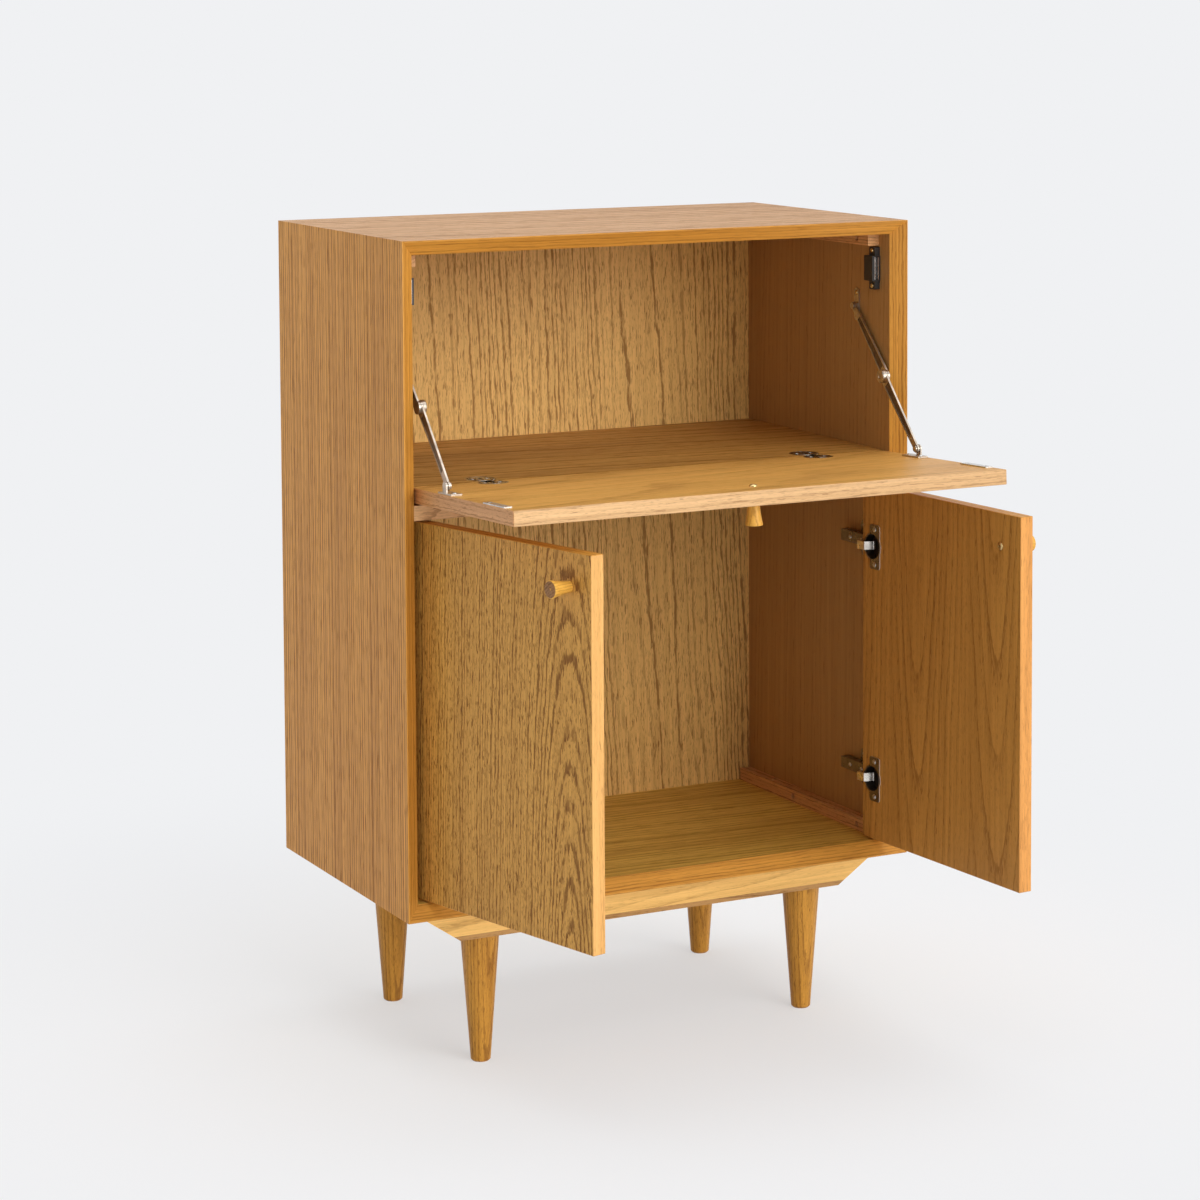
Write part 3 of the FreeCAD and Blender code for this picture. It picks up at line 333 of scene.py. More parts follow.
@cache
def oak_grain():
    """Growth rings, open pores and fibres of oak: across on X, through on Y, along on Z."""
    tree, w, given, out = new_group("oak_grain", {
        "Ring Spacing": 0.006, "Heart Side": 0.0, "Heart Depth": 0.05, "Taper": 0.1,
        "Waver": 0.012, "Wiggle": 0.002, "Jag": 0.0008, "Line Width": 0.0010, "Line": 0.7,
        "Pore Width": 0.0010, "Pore Length": 0.016, "Pore Share": 0.5, "Ticks": 0.5,
        "Band": 0.35, "Leaf Width": 9.0}, ("Shade", "Pores", "Height"))
    x, y, z = w.split(given["Vector"])

    # Leaves of veneer side by side, each one cut further along the log.
    leaves = w.plus(w.over(x, given["Leaf Width"]), 0.5)
    leaf = w.math("FLOOR", leaves)
    local = w.times(w.less(w.math("FRACT", leaves), 0.5), given["Leaf Width"])
    along = w.onto(leaf, 0.173, z)
    place = w.vector(local, y, along)

    def centred(factors, detail=2):
        return w.less(w.noise(w.stretch(place, factors), detail=detail), 0.5)

    # Distance from the wavering heart of the log, and the ring that it falls in.
    low, mid, rough = centred((7, 7, 1.3)), centred((55, 55, 13)), centred((300, 300, 50), 3)
    side = w.less(local, given["Heart Side"])
    side = w.onto(w.times(low, 2.2), given["Waver"], side)
    side = w.onto(w.times(mid, 2.5), given["Wiggle"], side)
    deep = w.onto(given["Taper"], along, w.plus(given["Heart Depth"], y))
    deep = w.onto(low, given["Waver"], deep)
    radius = w.math("SQRT", w.plus(w.times(side, side), w.times(deep, deep)))
    uneven = w.noise(w.vector(w.times(radius, 25.0), 3.7, 1.3), detail=3)
    jagged = w.onto(w.times(rough, 2.5), given["Jag"], radius)
    ring = w.onto(uneven, 4.0, w.over(jagged, given["Ring Spacing"]))
    phase = w.math("FRACT", ring)
    strength = w.chance(w.math("FLOOR", ring))
    early = w.times(w.ramp(phase, 0.0, 0.06), w.ramp(phase, 0.60, 0.10))
    early = w.times(early, w.ramp(strength, 0.0, 1.0, 0.3, 1.0, smooth=False))

    # Long pores, which crowd in the early wood.
    thin = w.vector(w.over(local, given["Pore Width"]), w.over(y, given["Pore Width"]),
                    w.over(along, given["Pore Length"]))
    dashes = w.noise(thin, detail=1.5)
    limit = w.onto(given["Pore Share"], -0.05, w.onto(early, -0.17, 0.66))
    pores = w.ramp(w.less(dashes, limit), 0.0, 0.05)

    # A broken dark line where each ring starts, and small ticks all over.
    beyond = w.times(phase, given["Ring Spacing"])
    line = w.times(w.ramp(beyond, 0.0, w.times(given["Line Width"], 0.4)),
                   w.ramp(beyond, w.times(given["Line Width"], 1.5), given["Line Width"]))
    breaks = w.noise(w.vector(w.times(local, 120.0), w.times(strength, 40.0),
                              w.over(along, w.times(given["Pore Length"], 1.6))))
    line = w.times(line, w.ramp(strength, 0.05, 0.75, 0.1, 1.0))
    line = w.times(line, w.ramp(breaks, 0.38, 0.55, 0.25, 1.0))
    pores = w.math("MAXIMUM", pores, w.times(line, given["Line"]))
    flecks = w.noise(w.stretch(thin, (1.4, 1.4, 1.8)), detail=1)
    ticks = w.times(w.ramp(flecks, 0.57, 0.70), given["Ticks"])
    pores = w.math("MAXIMUM", pores, ticks, clamp=True)

    # Light and dark of the wood itself: rings, fibres, streaks and whole leaves.
    fibre, streak = centred((900, 900, 9)), centred((160, 160, 2.2), 3)
    shade = w.onto(early, given["Band"], 0.34)
    for field, share in ((fibre, 0.9), (streak, 1.1), (centred((11, 11, 1.1), 3), 0.7)):
        shade = w.onto(field, share, shade)
    leafy = w.less(w.chance(w.plus(leaf, 0.37)), 0.5)
    shade = w.onto(leafy, 0.34, shade, clamp=True)
    w.fill(out, shade, pores, w.onto(fibre, 0.12, w.times(pores, -1.0)))
    return tree


@cache
def plated_metal():
    """Handled plated metal: fine brushing along one way, smudges and small scratches."""
    tree, w, given, out = new_group("plated_metal", {"Brush": 0.5}, ("Tone", "Dull", "Height"))
    place = given["Vector"]
    smudge = w.noise(place, scale=90, detail=3, roughness=0.6)
    brushed = w.noise(w.stretch(place, (2600, 2600, 160)), detail=1)
    lines = w.ramp(w.noise(w.stretch(place, (420, 1900, 900))), 0.66, 0.72)
    w.fill(out, w.ramp(w.onto(lines, 0.25, smudge), 0.3, 0.85),
           w.onto(lines, 0.35, w.ramp(smudge, 0.35, 0.75, 0.0, 0.8)),
           w.onto(brushed, given["Brush"], w.times(lines, -0.6)))
    return tree


@cache
def moulded_skin():
    """Fine spark-eroded skin of moulded plastic."""
    tree, w, given, out = new_group("moulded_skin", {}, ("Tone", "Height"))
    w.fill(out, w.noise(given["Vector"], scale=60, detail=3),
           w.noise(given["Vector"], scale=2400))
    return tree


def bare_material(name):
    """New material: (material, wiring, its shader, its object coordinates)."""
    made = bpy.data.materials.new(name)
    made.use_nodes = True
    made.node_tree.nodes.clear()
    w = Wiring(made.node_tree)
    shader = w.place("BsdfPrincipled")
    w.fill(w.place("OutputMaterial"), surface=shader.outputs[0])
    return made, w, shader, w.place("TexCoord").outputs["Object"]


# Oak's pale and deep wood as steps from its middle colour, and the pores as shares of it.
PALE_STEPS, DEEP_STEPS = (0.16, 0.17, 0.20), (-0.28, -0.34, -0.42)
PORE_SHARES = (0.30, 0.21, 0.15)
SMUDGE_SHARES, CLOUD_SHARES = (0.72, 0.70, 0.68), (1.6, 1.6, 1.6)   # of metal, of plastic


def oak(name, colour, axes="xyz", turn=(0, 0, 0), about=(0, 0, 0), shift=(0, 0, 0),
        contrast=1.0, pore_depth=0.62, roughness=0.42, **figure):
    """Lacquered oak.

    The piece is turned about a point and shifted, and then its axes are taken in the order
    across, through and along the grain. The figure's values go to the grain's own sockets.
    """
    made, w, shader, place = bare_material(name)
    centre = Vector(about)
    moved = centre - Euler(turn).to_matrix() @ centre + Vector(shift)
    parts = w.split(w.fill(w.place("Mapping"), vector=place, location=moved, rotation=turn)[0])
    ordered = w.vector(*[parts[axis.upper()] for axis in axes])
    grain = w.fill(w.place("Group", node_tree=oak_grain()), vector=ordered, **figure)
    pale, deep = (rgba(colour, [1.0 + step * contrast for step in steps])
                  for steps in (PALE_STEPS, DEEP_STEPS))
    body = w.blend(grain["Shade"], pale, deep)
    body = w.blend(w.times(grain["Pores"], pore_depth), body, rgba(colour, PORE_SHARES))
    dull = w.ramp(w.onto(grain["Shade"], 0.25, grain["Pores"]), 0.0, 1.0,
                  roughness - 0.04, roughness + 0.22, smooth=False)
    w.fill(shader, base_color=body, roughness=dull,
           normal=w.bump(grain["Height"], strength=0.5, distance=0.00018))
    shader.inputs["Specular IOR Level"].default_value = 0.25
    return made


def plated(name, colour, roughness):
    """Plated or polished metal."""
    made, w, shader, place = bare_material(name)
    finish = w.fill(w.place("Group", node_tree=plated_metal()), vector=place, brush=0.4)
    body = w.blend(finish["Tone"], rgba(colour), rgba(colour, SMUDGE_SHARES))
    dull = w.ramp(finish["Dull"], 0.0, 1.0, roughness, roughness + 0.24, smooth=False)
    w.fill(shader, base_color=body, metallic=1.0, roughness=dull,
           normal=w.bump(finish["Height"], strength=0.25, distance=0.00002))
    return made


def moulded(name, colour, roughness):
    """Moulded plastic or sintered magnet."""
    made, w, shader, place = bare_material(name)
    skin = w.fill(w.place("Group", node_tree=moulded_skin()), vector=place)
    body = w.blend(skin["Tone"], rgba(colour), rgba(colour, CLOUD_SHARES))
    dull = w.ramp(skin["Tone"], 0.3, 0.7, roughness - 0.06, roughness + 0.1)
    w.fill(shader, base_color=body, roughness=dull,
           normal=w.bump(skin["Height"], strength=0.3, distance=0.00004))
    return made


# Each metal or plastic, under its colour's name: its maker, its material's name, its roughness.
# The arm, rim, well, disc and web colours hold painted shade, a painted highlight and a painted
# reflection.
METALS = {"nickel": (plated, "nickel", 0.22), "arm": (plated, "dull_nickel", 0.26),
          "rim": (plated, "bright_edge", 0.55), "well": (plated, "cup_well", 0.5),
          "bronze": (plated, "bronzed_nickel", 0.30), "disc": (plated, "hinge_disc", 0.16),
          "web": (plated, "stay_web", 0.42), "steel": (plated, "plated_steel", 0.26),
          "brass": (plated, "brass", 0.24), "plastic": (moulded, "catch_plastic", 0.42),
          "magnet": (moulded, "catch_magnet", 0.5)}


@cache
def metal(name):
    """One of the shared metals and plastics."""
    maker, title, roughness = METALS[name]
    return maker(title, getattr(settings("colours"), name), roughness)


# --- dressing the frame's own pieces ----------------------------------------------
def dress(node, base, *layers):
    """Materials of one frame piece: a base, and others where the test beside them holds.

    A test gets a face's middle and normal, and the last one that holds counts.
    """
    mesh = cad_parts[node].data
    mesh.materials.clear()
    mesh.materials.append(base)
    for index, (material, test) in enumerate(layers, 1):
        mesh.materials.append(material)
        for face in mesh.polygons:
            if test(face.center, face.normal):
                face.material_index = index


def facing(direction, share=0.7):
    """Test for faces that look a given way."""
    way = Vector(direction).normalized()
    return lambda middle, normal: normal.dot(way) > share


def along_either(direction, share=0.7):
    """Test for faces that look one way or the opposite one."""
    way = Vector(direction).normalized()
    return lambda middle, normal: abs(normal.dot(way)) > share


# --- shaping new pieces -----------------------------------------------------------
UP, DOWN = (0, 0, 1), (0, 0, -1)


def leave_all():
    """Nothing in edit mode, nothing selected, nothing active."""
    if bpy.context.object and bpy.context.object.mode != "OBJECT":
        bpy.ops.object.mode_set(mode="OBJECT")
    bpy.ops.object.select_all(action="DESELECT")
    bpy.context.view_layer.objects.active = None


def choose(*pieces):
    """Selects some pieces and makes the first one active."""
    leave_all()
    for piece in pieces:
        piece.select_set(True)
    bpy.context.view_layer.objects.active = pieces[0]


def edit(piece):
    choose(piece)
    bpy.ops.object.mode_set(mode="EDIT")


def discard(*pieces):
    choose(*pieces)
    bpy.ops.object.delete()


def new_object(name, data):
    """New object of the scene, on the origin."""
    made = bpy.data.objects.new(name, data)
    bpy.context.scene.collection.objects.link(made)
    return made


def applied(name, scale=(1, 1, 1)):
    """The primitive just added, named, and with its place and scale in its mesh."""
    piece = bpy.context.object
    piece.name = piece.data.name = name
    piece.scale = scale
    bpy.ops.object.transform_apply(location=True, rotation=True, scale=True)
    return piece


def block(name, size, height):
    """Box with its middle at a height over the origin."""
    leave_all()
    bpy.ops.mesh.primitive_cube_add(size=1, location=(0, 0, height))
    return applied(name, size)


def cylinder(name, radius, height, sides, moved=(0, 0, 0)):
    """Upright cylinder with its base on the origin, or moved from there."""
    leave_all()
    bpy.ops.mesh.primitive_cylinder_add(vertices=sides, radius=radius, depth=height,
                                        location=(0, 0, height / 2))
    piece = applied(name)
    piece.data.transform(Matrix.Translation(moved))
    return piece


def pick_faces(piece, test):
    """In edit mode, selects the faces whose middle and normal pass a test."""
    bpy.ops.mesh.select_mode(type="FACE")
    bpy.ops.mesh.select_all(action="DESELECT")
    sheet = bmesh.from_edit_mesh(piece.data)
    for face in sheet.faces:
        if test(face.calc_center_median(), face.normal):
            face.select_set(True)
    sheet.select_flush_mode()
    bmesh.update_edit_mesh(piece.data)


def raise_top(piece, rise, radius, new_radius):
    """In edit mode, extrudes the top face upward and sizes it to a new radius."""
    pick_faces(piece, facing(UP, 0.95))
    bpy.ops.mesh.extrude_region_move(TRANSFORM_OT_translate={"value": (0, 0, rise)})
    share = new_radius / radius
    bpy.ops.transform.resize(value=(share, share, 1), center_override=(0, 0, 0))


def smooth_edges(piece, degrees=35):
    choose(piece)
    bpy.ops.object.shade_smooth_by_angle(angle=math.radians(degrees))


def combine(piece, other, how="DIFFERENCE"):
    """Takes a closed piece out of another, or adds it, and deletes it."""
    choose(piece)
    change = piece.modifiers.new("combine", "BOOLEAN")
    change.operation, change.solver, change.object = how, "EXACT", other
    bpy.ops.object.modifier_apply(modifier=change.name)
    discard(other)


def merged_copy(node, name):
    """A frame piece's shape as a new closed piece."""
    piece = new_object(name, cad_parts[node].data.copy())
    piece.data.name = name
    edit(piece)
    bpy.ops.mesh.select_all(action="SELECT")
    bpy.ops.mesh.remove_doubles(threshold=0.00001)
    leave_all()
    return piece


def cross_cutter(reach, width, depth, top):
    """Tapered cross that presses the recess into a screw's head."""
    proud = 0.0004   # how far it stands out of the head, so that the cut is clean
    bars = []
    for degrees in (0, 90):
        bar = block("cross_bar", (2 * reach, width, depth + proud), top - depth / 2 + proud / 2)
        edit(bar)
        pick_faces(bar, facing(DOWN, 0.95))
        bpy.ops.transform.resize(value=(0.55, 0.7, 1), center_override=(0, 0, 0))
        leave_all()
        bar.data.transform(Matrix.Rotation(math.radians(degrees), 4, "Z"))
        bars.append(bar)
    combine(*bars, "UNION")
    return bars[0]


def cross_head(name, radius, height, sides=20):
    """Head of a cross-recessed screw: a short wall, a low dome and the recess."""
    head = cylinder(name, radius, height * 0.35, sides)
    edit(head)
    before = radius
    for rise, share in ((0.33, 0.90), (0.22, 0.66), (0.10, 0.30)):
        raise_top(head, height * rise, before, radius * share)
        before = radius * share
    combine(head, cross_cutter(radius * 0.55, radius * 0.24, height * 0.62, height))
    smooth_edges(head)
    return head


def seat(place, direction, spin=0.0):
    """Matrix that puts a piece drawn up +Z at a place, looking along a direction."""
    way = Vector(direction).normalized()
    turn = way.to_track_quat("Z", "Y").to_matrix().to_4x4()
    return Matrix.Translation(Vector(place)) @ turn @ Matrix.Rotation(spin, 4, "Z")


def coat(piece, material):
    """Gives a piece one material in place of those it has."""
    piece.data.materials.clear()
    piece.data.materials.append(material)


def set_out(pattern, name, body, material, seats):
    """Copies a finished pattern to its seats as one piece of one body."""
    copies = []
    for matrix in seats:
        copies.append(new_object(name, pattern.data.copy()))
        copies[-1].data.transform(matrix)
    choose(*copies)
    if len(copies) > 1:
        bpy.ops.object.join()
    piece = copies[0]
    piece.name = piece.data.name = name
    coat(piece, material)
    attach(piece, body)
    leave_all()
    return piece


def set_screws(pattern, name, body, finish, seats):
    """Sets out screws of steel or brass."""
    return set_out(pattern, name, body, metal(finish), seats)


# --- places on the flap and the doors ---------------------------------------------
def turned(pivot, angle, axis):
    """Turn about a point."""
    there = Matrix.Translation(pivot)
    return there @ Matrix.Rotation(angle, 4, axis) @ there.inverted()


def flap_matrix():
    """Level flap to its open rest."""
    p = settings("places")
    return turned((0, p.flap_axis_y, p.flap_axis_z), -p.flap_tilt, "X")


def door_matrix(side):
    """Closed door to its rest."""
    p = settings("places")
    opened = {"left": -p.left_open, "right": p.right_open}[side]
    return turned((SIDES[side] * p.door_axis_x, p.door_axis_y, 0), opened, "Z")


def knob_seats(inner, flap_spin=0.0, door_spin=0.0):
    """Body and matrix of each knob's place, on its board's outer or inner face."""
    p, s = settings("places"), settings("sizes")
    way, depth = (1, p.board) if inner else (-1, 0)
    y = p.flap_heel_y - p.flap_length + s.knob_inset
    place = (0, y, p.shelf_top - p.board + depth)
    seats = {"flap_knob": ("flap", flap_matrix() @ seat(place, (0, 0, way), flap_spin))}
    for side, sign in SIDES.items():
        x = sign * (p.door_edge - p.door_width + s.knob_inset)
        place = (x, p.door_face_y + depth, s.door_knob_z)
        matrix = door_matrix(side) @ seat(place, (0, way, 0), door_spin)
        seats[f"{side}_door_knob"] = (f"{side}_door", matrix)
    return seats


# --- operators: oak ---------------------------------------------------------------
class CABINET_OT_case_boards(bpy.types.Operator):
    """Dresses the case's boards, back, shelf and rail in oak"""
    bl_idname = "cabinet.case_boards"
    bl_label = "Case boards"

    def execute(self, context):
        c = settings("colours")
        outside = oak("side_oak", c.side, "yxz", shift=(0, 0.03, 0), ring_spacing=0.0068,
                      heart_side=-1.4, heart_depth=0.3, taper=0.01, waver=0.002,
                      wiggle=0.0006, jag=0.0004, line_width=0.0015, line=1.0, pore_width=0.0015,
                      pore_length=0.045, pore_share=0.3, ticks=0.7, leaf_width=0.123,
                      contrast=1.2, pore_depth=0.85)
        inside = oak("inner_side_oak", c.inside, "yxz", ring_spacing=0.007, heart_side=-0.6,
                     heart_depth=0.3, taper=0.03, waver=0.01, wiggle=0.001, pore_width=0.0011,
                     pore_length=0.02, pore_share=-0.8, line=0.3, ticks=0.2, band=0.2,
                     leaf_width=0.16, contrast=0.6, pore_depth=0.4)
        narrow = dict(ring_spacing=0.0035, heart_side=-0.5, heart_depth=0.2, taper=0.0,
                      waver=0.002, pore_width=0.0012, pore_length=0.03, pore_share=0.0,
                      pore_depth=0.45)
        bevel = oak("bevel_oak", c.bevel, **narrow)
        level_bevel = oak("level_bevel_oak", c.bevel, "zyx", **narrow)
        top = oak("top_oak", c.top, "yzx", ring_spacing=0.008, heart_side=-0.4, heart_depth=0.2,
                  taper=0.03, line_width=0.002, line=0.8, pore_width=0.0018, pore_length=0.035,
                  pore_share=0.3, ticks=0.7, leaf_width=0.1, contrast=1.3, pore_depth=0.7)
        streaky = dict(axes="yzx", shift=(0.31, 0, 0), ring_spacing=0.009, heart_side=-0.3,
                       heart_depth=0.1, taper=0.05, waver=0.02, line_width=0.002, line=0.6,
                       pore_width=0.002, pore_length=0.05, pore_share=0.0, ticks=0.6,
                       leaf_width=0.19, contrast=1.4, pore_depth=0.65)
        floor = oak("floor_oak", c.floor, **streaky)
        shelf = oak("shelf_oak", c.shelf, **streaky)
        back = oak("back_oak", c.back, shift=(0.04, 0, -0.3), ring_spacing=0.0052,
                   heart_side=-0.24, heart_depth=0.10, taper=0.03, waver=0.014, wiggle=0.0030,
                   jag=0.0012, line_width=0.0013, line=1.0, pore_width=0.0011,
                   pore_share=0.3, ticks=0.7, band=0.15, leaf_width=0.34, contrast=0.9,
                   pore_depth=0.80)
        rail = oak("rail_oak", c.rail, "zyx", heart_side=0.66, heart_depth=0.02, taper=0.12,
                   waver=0.01, contrast=1.1)

        def is_bevel(middle, normal):
            return normal.y < -0.5

        for side, sign in SIDES.items():
            dress(f"{side}_side_panel", inside, (outside, facing((sign, 0, 0))),
                  (bevel, is_bevel))
        dress("top_panel", floor, (top, facing(UP)), (level_bevel, is_bevel))
        dress("bottom_panel", floor, (level_bevel, is_bevel))
        dress("back_panel", back)
        dress("fixed_shelf", shelf)
        dress("shelf_front_rail", rail)
        return {"FINISHED"}


class CABINET_OT_flap(bpy.types.Operator):
    """Dresses the drop flap in oak with its edge strips"""
    bl_idname = "cabinet.flap"
    bl_label = "Drop flap"

    def execute(self, context):
        c, p = settings("colours"), settings("places")
        level = dict(turn=(p.flap_tilt, 0, 0), about=(0, p.flap_axis_y, p.flap_axis_z))
        face = oak("flap_oak", c.flap, "yzx", ring_spacing=0.0085, heart_side=0.1,
                   heart_depth=0.09, taper=0.045, waver=0.02, line=0.5, pore_width=0.0014,
                   pore_length=0.03, pore_share=-0.1, leaf_width=0.21, pore_depth=0.42, **level)
        edging = dict(ring_spacing=0.005, heart_side=0.4, heart_depth=0.1, taper=0.01,
                      waver=0.004, pore_width=0.0009, **level)
        strip = oak("flap_edge_oak", c.flap_edge, "zyx", pore_length=0.014, pore_share=0.2,
                    contrast=0.9, pore_depth=0.5, **edging)
        end = oak("flap_end_oak", c.flap_end, "zxy", pore_length=0.01, pore_share=0.4,
                  contrast=0.8, pore_depth=0.45, **edging)
        dress("flap_panel", face, (strip, along_either((0, 1, 0.04), 0.6)),
              (end, along_either((1, 0, 0))))
        return {"FINISHED"}


class CABINET_OT_doors(bpy.types.Operator):
    """Dresses both doors in flat-sawn oak with edge strips"""
    bl_idname = "cabinet.doors"
    bl_label = "Doors"

    def execute(self, context):
        c, p = settings("colours"), settings("places")
        for side, opened in (("left", p.left_open), ("right", -p.right_open)):
            sign = SIDES[side]
            closed = dict(turn=(0, 0, opened), about=(sign * p.door_axis_x, p.door_axis_y, 0))
            face = oak(f"{side}_door_oak", c.door, shift=(0, 0.19, 0.12), ring_spacing=0.0050,
                       heart_side=sign * 0.040, heart_depth=-0.026, taper=0.11, waver=0.010,
                       wiggle=0.0026, jag=0.0013, line_width=0.0014, line=0.88,
                       pore_width=0.0012, pore_length=0.011, pore_share=0.6, ticks=0.7,
                       band=0.15, contrast=0.95, pore_depth=0.94, **closed)
            inner = oak(f"{side}_door_inner_oak", c.door_inside, shift=(-sign * 0.02, 0, 0.3),
                        ring_spacing=0.011, heart_side=0.03, taper=0.09, waver=0.022,
                        pore_width=0.0014, pore_length=0.014, pore_share=0.0, leaf_width=0.16,
                        pore_depth=0.5, **closed)
            edging = dict(ring_spacing=0.005, heart_side=0.5, heart_depth=0.1, taper=0.01,
                          waver=0.003, **closed)
            strip = oak(f"{side}_door_edge_oak", getattr(c, f"{side}_edge"), pore_width=0.0009,
                        pore_length=0.018, pore_share=0.3, contrast=0.9, pore_depth=0.5,
                        **edging)
            rim = oak(f"{side}_door_rim_oak", c.bevel, "yzx", pore_width=0.0008,
                      pore_length=0.012, pore_share=0.1, contrast=0.7, pore_depth=0.4, **edging)
            turn = door_matrix(side).to_3x3()
            dress(f"{side}_door_panel", inner, (face, facing(turn @ Vector((0, -1, 0)))),
                  (strip, along_either(turn @ Vector((1, 0, 0)), 0.6)),
                  (rim, along_either(UP, 0.6)))
        return {"FINISHED"}


class CABINET_OT_base(bpy.types.Operator):
    """Dresses the plinth and its legs in solid oak"""
    bl_idname = "cabinet.base"
    bl_label = "Plinth and legs"

    def execute(self, context):
        c, p = settings("colours"), settings("places")
        rail = oak("plinth_rail_oak", c.plinth, "zyx", shift=(0.2, 0, 0.04), ring_spacing=0.012,
                   heart_side=0.13, waver=0.03, pore_share=-0.5, contrast=0.8, pore_depth=0.35)
        end = oak("plinth_end_oak", c.plinth, "xzy", ring_spacing=0.009, heart_side=0.2,
                  heart_depth=0.06, taper=0.08, waver=0.02, pore_share=-0.4, contrast=0.7,
                  pore_depth=0.35)
        board = oak("plinth_board_oak", c.inside, "yzx", ring_spacing=0.01, heart_side=0.1,
                    heart_depth=0.06, taper=0.08, waver=0.02, pore_share=-0.2, contrast=0.7)
        for place, wood in (("front_rail", rail), ("back_rail", rail), ("left_rail", end),
                            ("right_rail", end), ("bottom_board", board),
                            ("corner_blocks", board)):
            dress(f"plinth_{place}", wood)
        legs = [(f"{end}_{side}_leg", sign * p.leg_x, deep * p.leg_y)
                for side, sign in SIDES.items() for end, deep in (("front", -1), ("back", 1))]
        for number, (node, x, y) in enumerate(legs):
            dress(node, oak(f"{node}_oak", c.leg, shift=(-x, -y, 0.21 * number),
                            ring_spacing=0.0048, heart_side=0.01 - 0.006 * number,
                            heart_depth=0.034, taper=0.035, pore_width=0.0011,
                            pore_length=0.012, pore_share=0.1, contrast=1.25, roughness=0.36))
        return {"FINISHED"}


class CABINET_OT_cleats(bpy.types.Operator):
    """Dresses the corner battens"""
    bl_idname = "cabinet.cleats"
    bl_label = "Corner battens"

    def execute(self, context):
        batten = oak("batten_oak", settings("colours").cleat, "xzy", ring_spacing=0.004,
                     heart_side=0.2, heart_depth=0.06, taper=0.02, waver=0.006,
                     pore_width=0.0009, pore_share=0.2, contrast=0.8)
        for side in SIDES:
            dress(f"top_{side}_cleat", batten)
            dress(f"bottom_{side}_cleat", batten)
        return {"FINISHED"}


# --- operators: metal and plastic -------------------------------------------------
SLACK = 0.0001   # by which faces on one plane or wall may miss it


class CABINET_OT_metalwork(bpy.types.Operator):
    """Finishes the hinges, stays, strikes, catches and bolts of the frame"""
    bl_idname = "cabinet.metalwork"
    bl_label = "Metalwork"

    plain = {
        "nickel": ["left_door_hinge_links", "right_door_hinge_links"],
        # Arms and plates take the darker nickel, painted shade.
        "arm": ["door_hinge_arms", "door_hinge_plates"],
        "bronze": ["stay_feet", "stay_wall_brackets", "left_stay_elbow_rivet",
                   "right_stay_elbow_rivet"],
        "steel": ["strike_plates", "flap_hinge_shelf_cups", "flap_hinge_flap_cups",
                  "flap_hinge_pins", "catch_pole_plates", "leg_bolts"],
        "plastic": ["magnet_catches"],
        "magnet": ["catch_magnets"],
    }

    def arms(self, level, inner):
        """Bronzed stay arms whose sunk faces are darker, painted shade: one web lies between two
        planes.
        """
        web = 0.001

        def sunk(middle, normal):
            flat = any(abs(abs(middle.x) - plane) < SLACK / 2 for plane in (inner, inner + web))
            return flat and abs(normal.x) > 0.9

        for side in SIDES:
            dress(f"{side}_stay_{level}_arm", metal("bronze"), (metal("web"), sunk))

    def cups(self, side):
        """Flanges in darker nickel, painted shade, with a painted highlight on their edges,
        round wells painted dark as shade, in one door's cups.
        """
        p = settings("places")
        closed = door_matrix(side).inverted()
        turn = closed.to_3x3()
        board_face = p.door_face_y + p.board
        middle_x = SIDES[side] * (p.door_edge - p.cup_in)

        def in_well(middle, normal):
            at = closed @ middle
            off = min(math.hypot(at.x - middle_x, at.z - z) for z in (p.low_hinge, p.high_hinge))
            return off < p.cup_bore + SLACK and at.y < board_face + p.flange - SLACK / 2

        def on_rim(middle, normal):
            at = closed @ middle
            return (not in_well(middle, normal) and abs((turn @ normal).y) < 0.5
                    and at.y > board_face - SLACK)

        dress(f"{side}_door_hinge_cups", metal("arm"), (metal("rim"), on_rim),
              (metal("well"), in_well))

    def execute(self, context):
        for finish, nodes in self.plain.items():
            for node in nodes:
                dress(node, metal(finish))
        p = settings("places")
        self.arms("upper", p.upper_web)
        self.arms("lower", p.lower_web)
        for side in SIDES:
            self.cups(side)
        return {"FINISHED"}


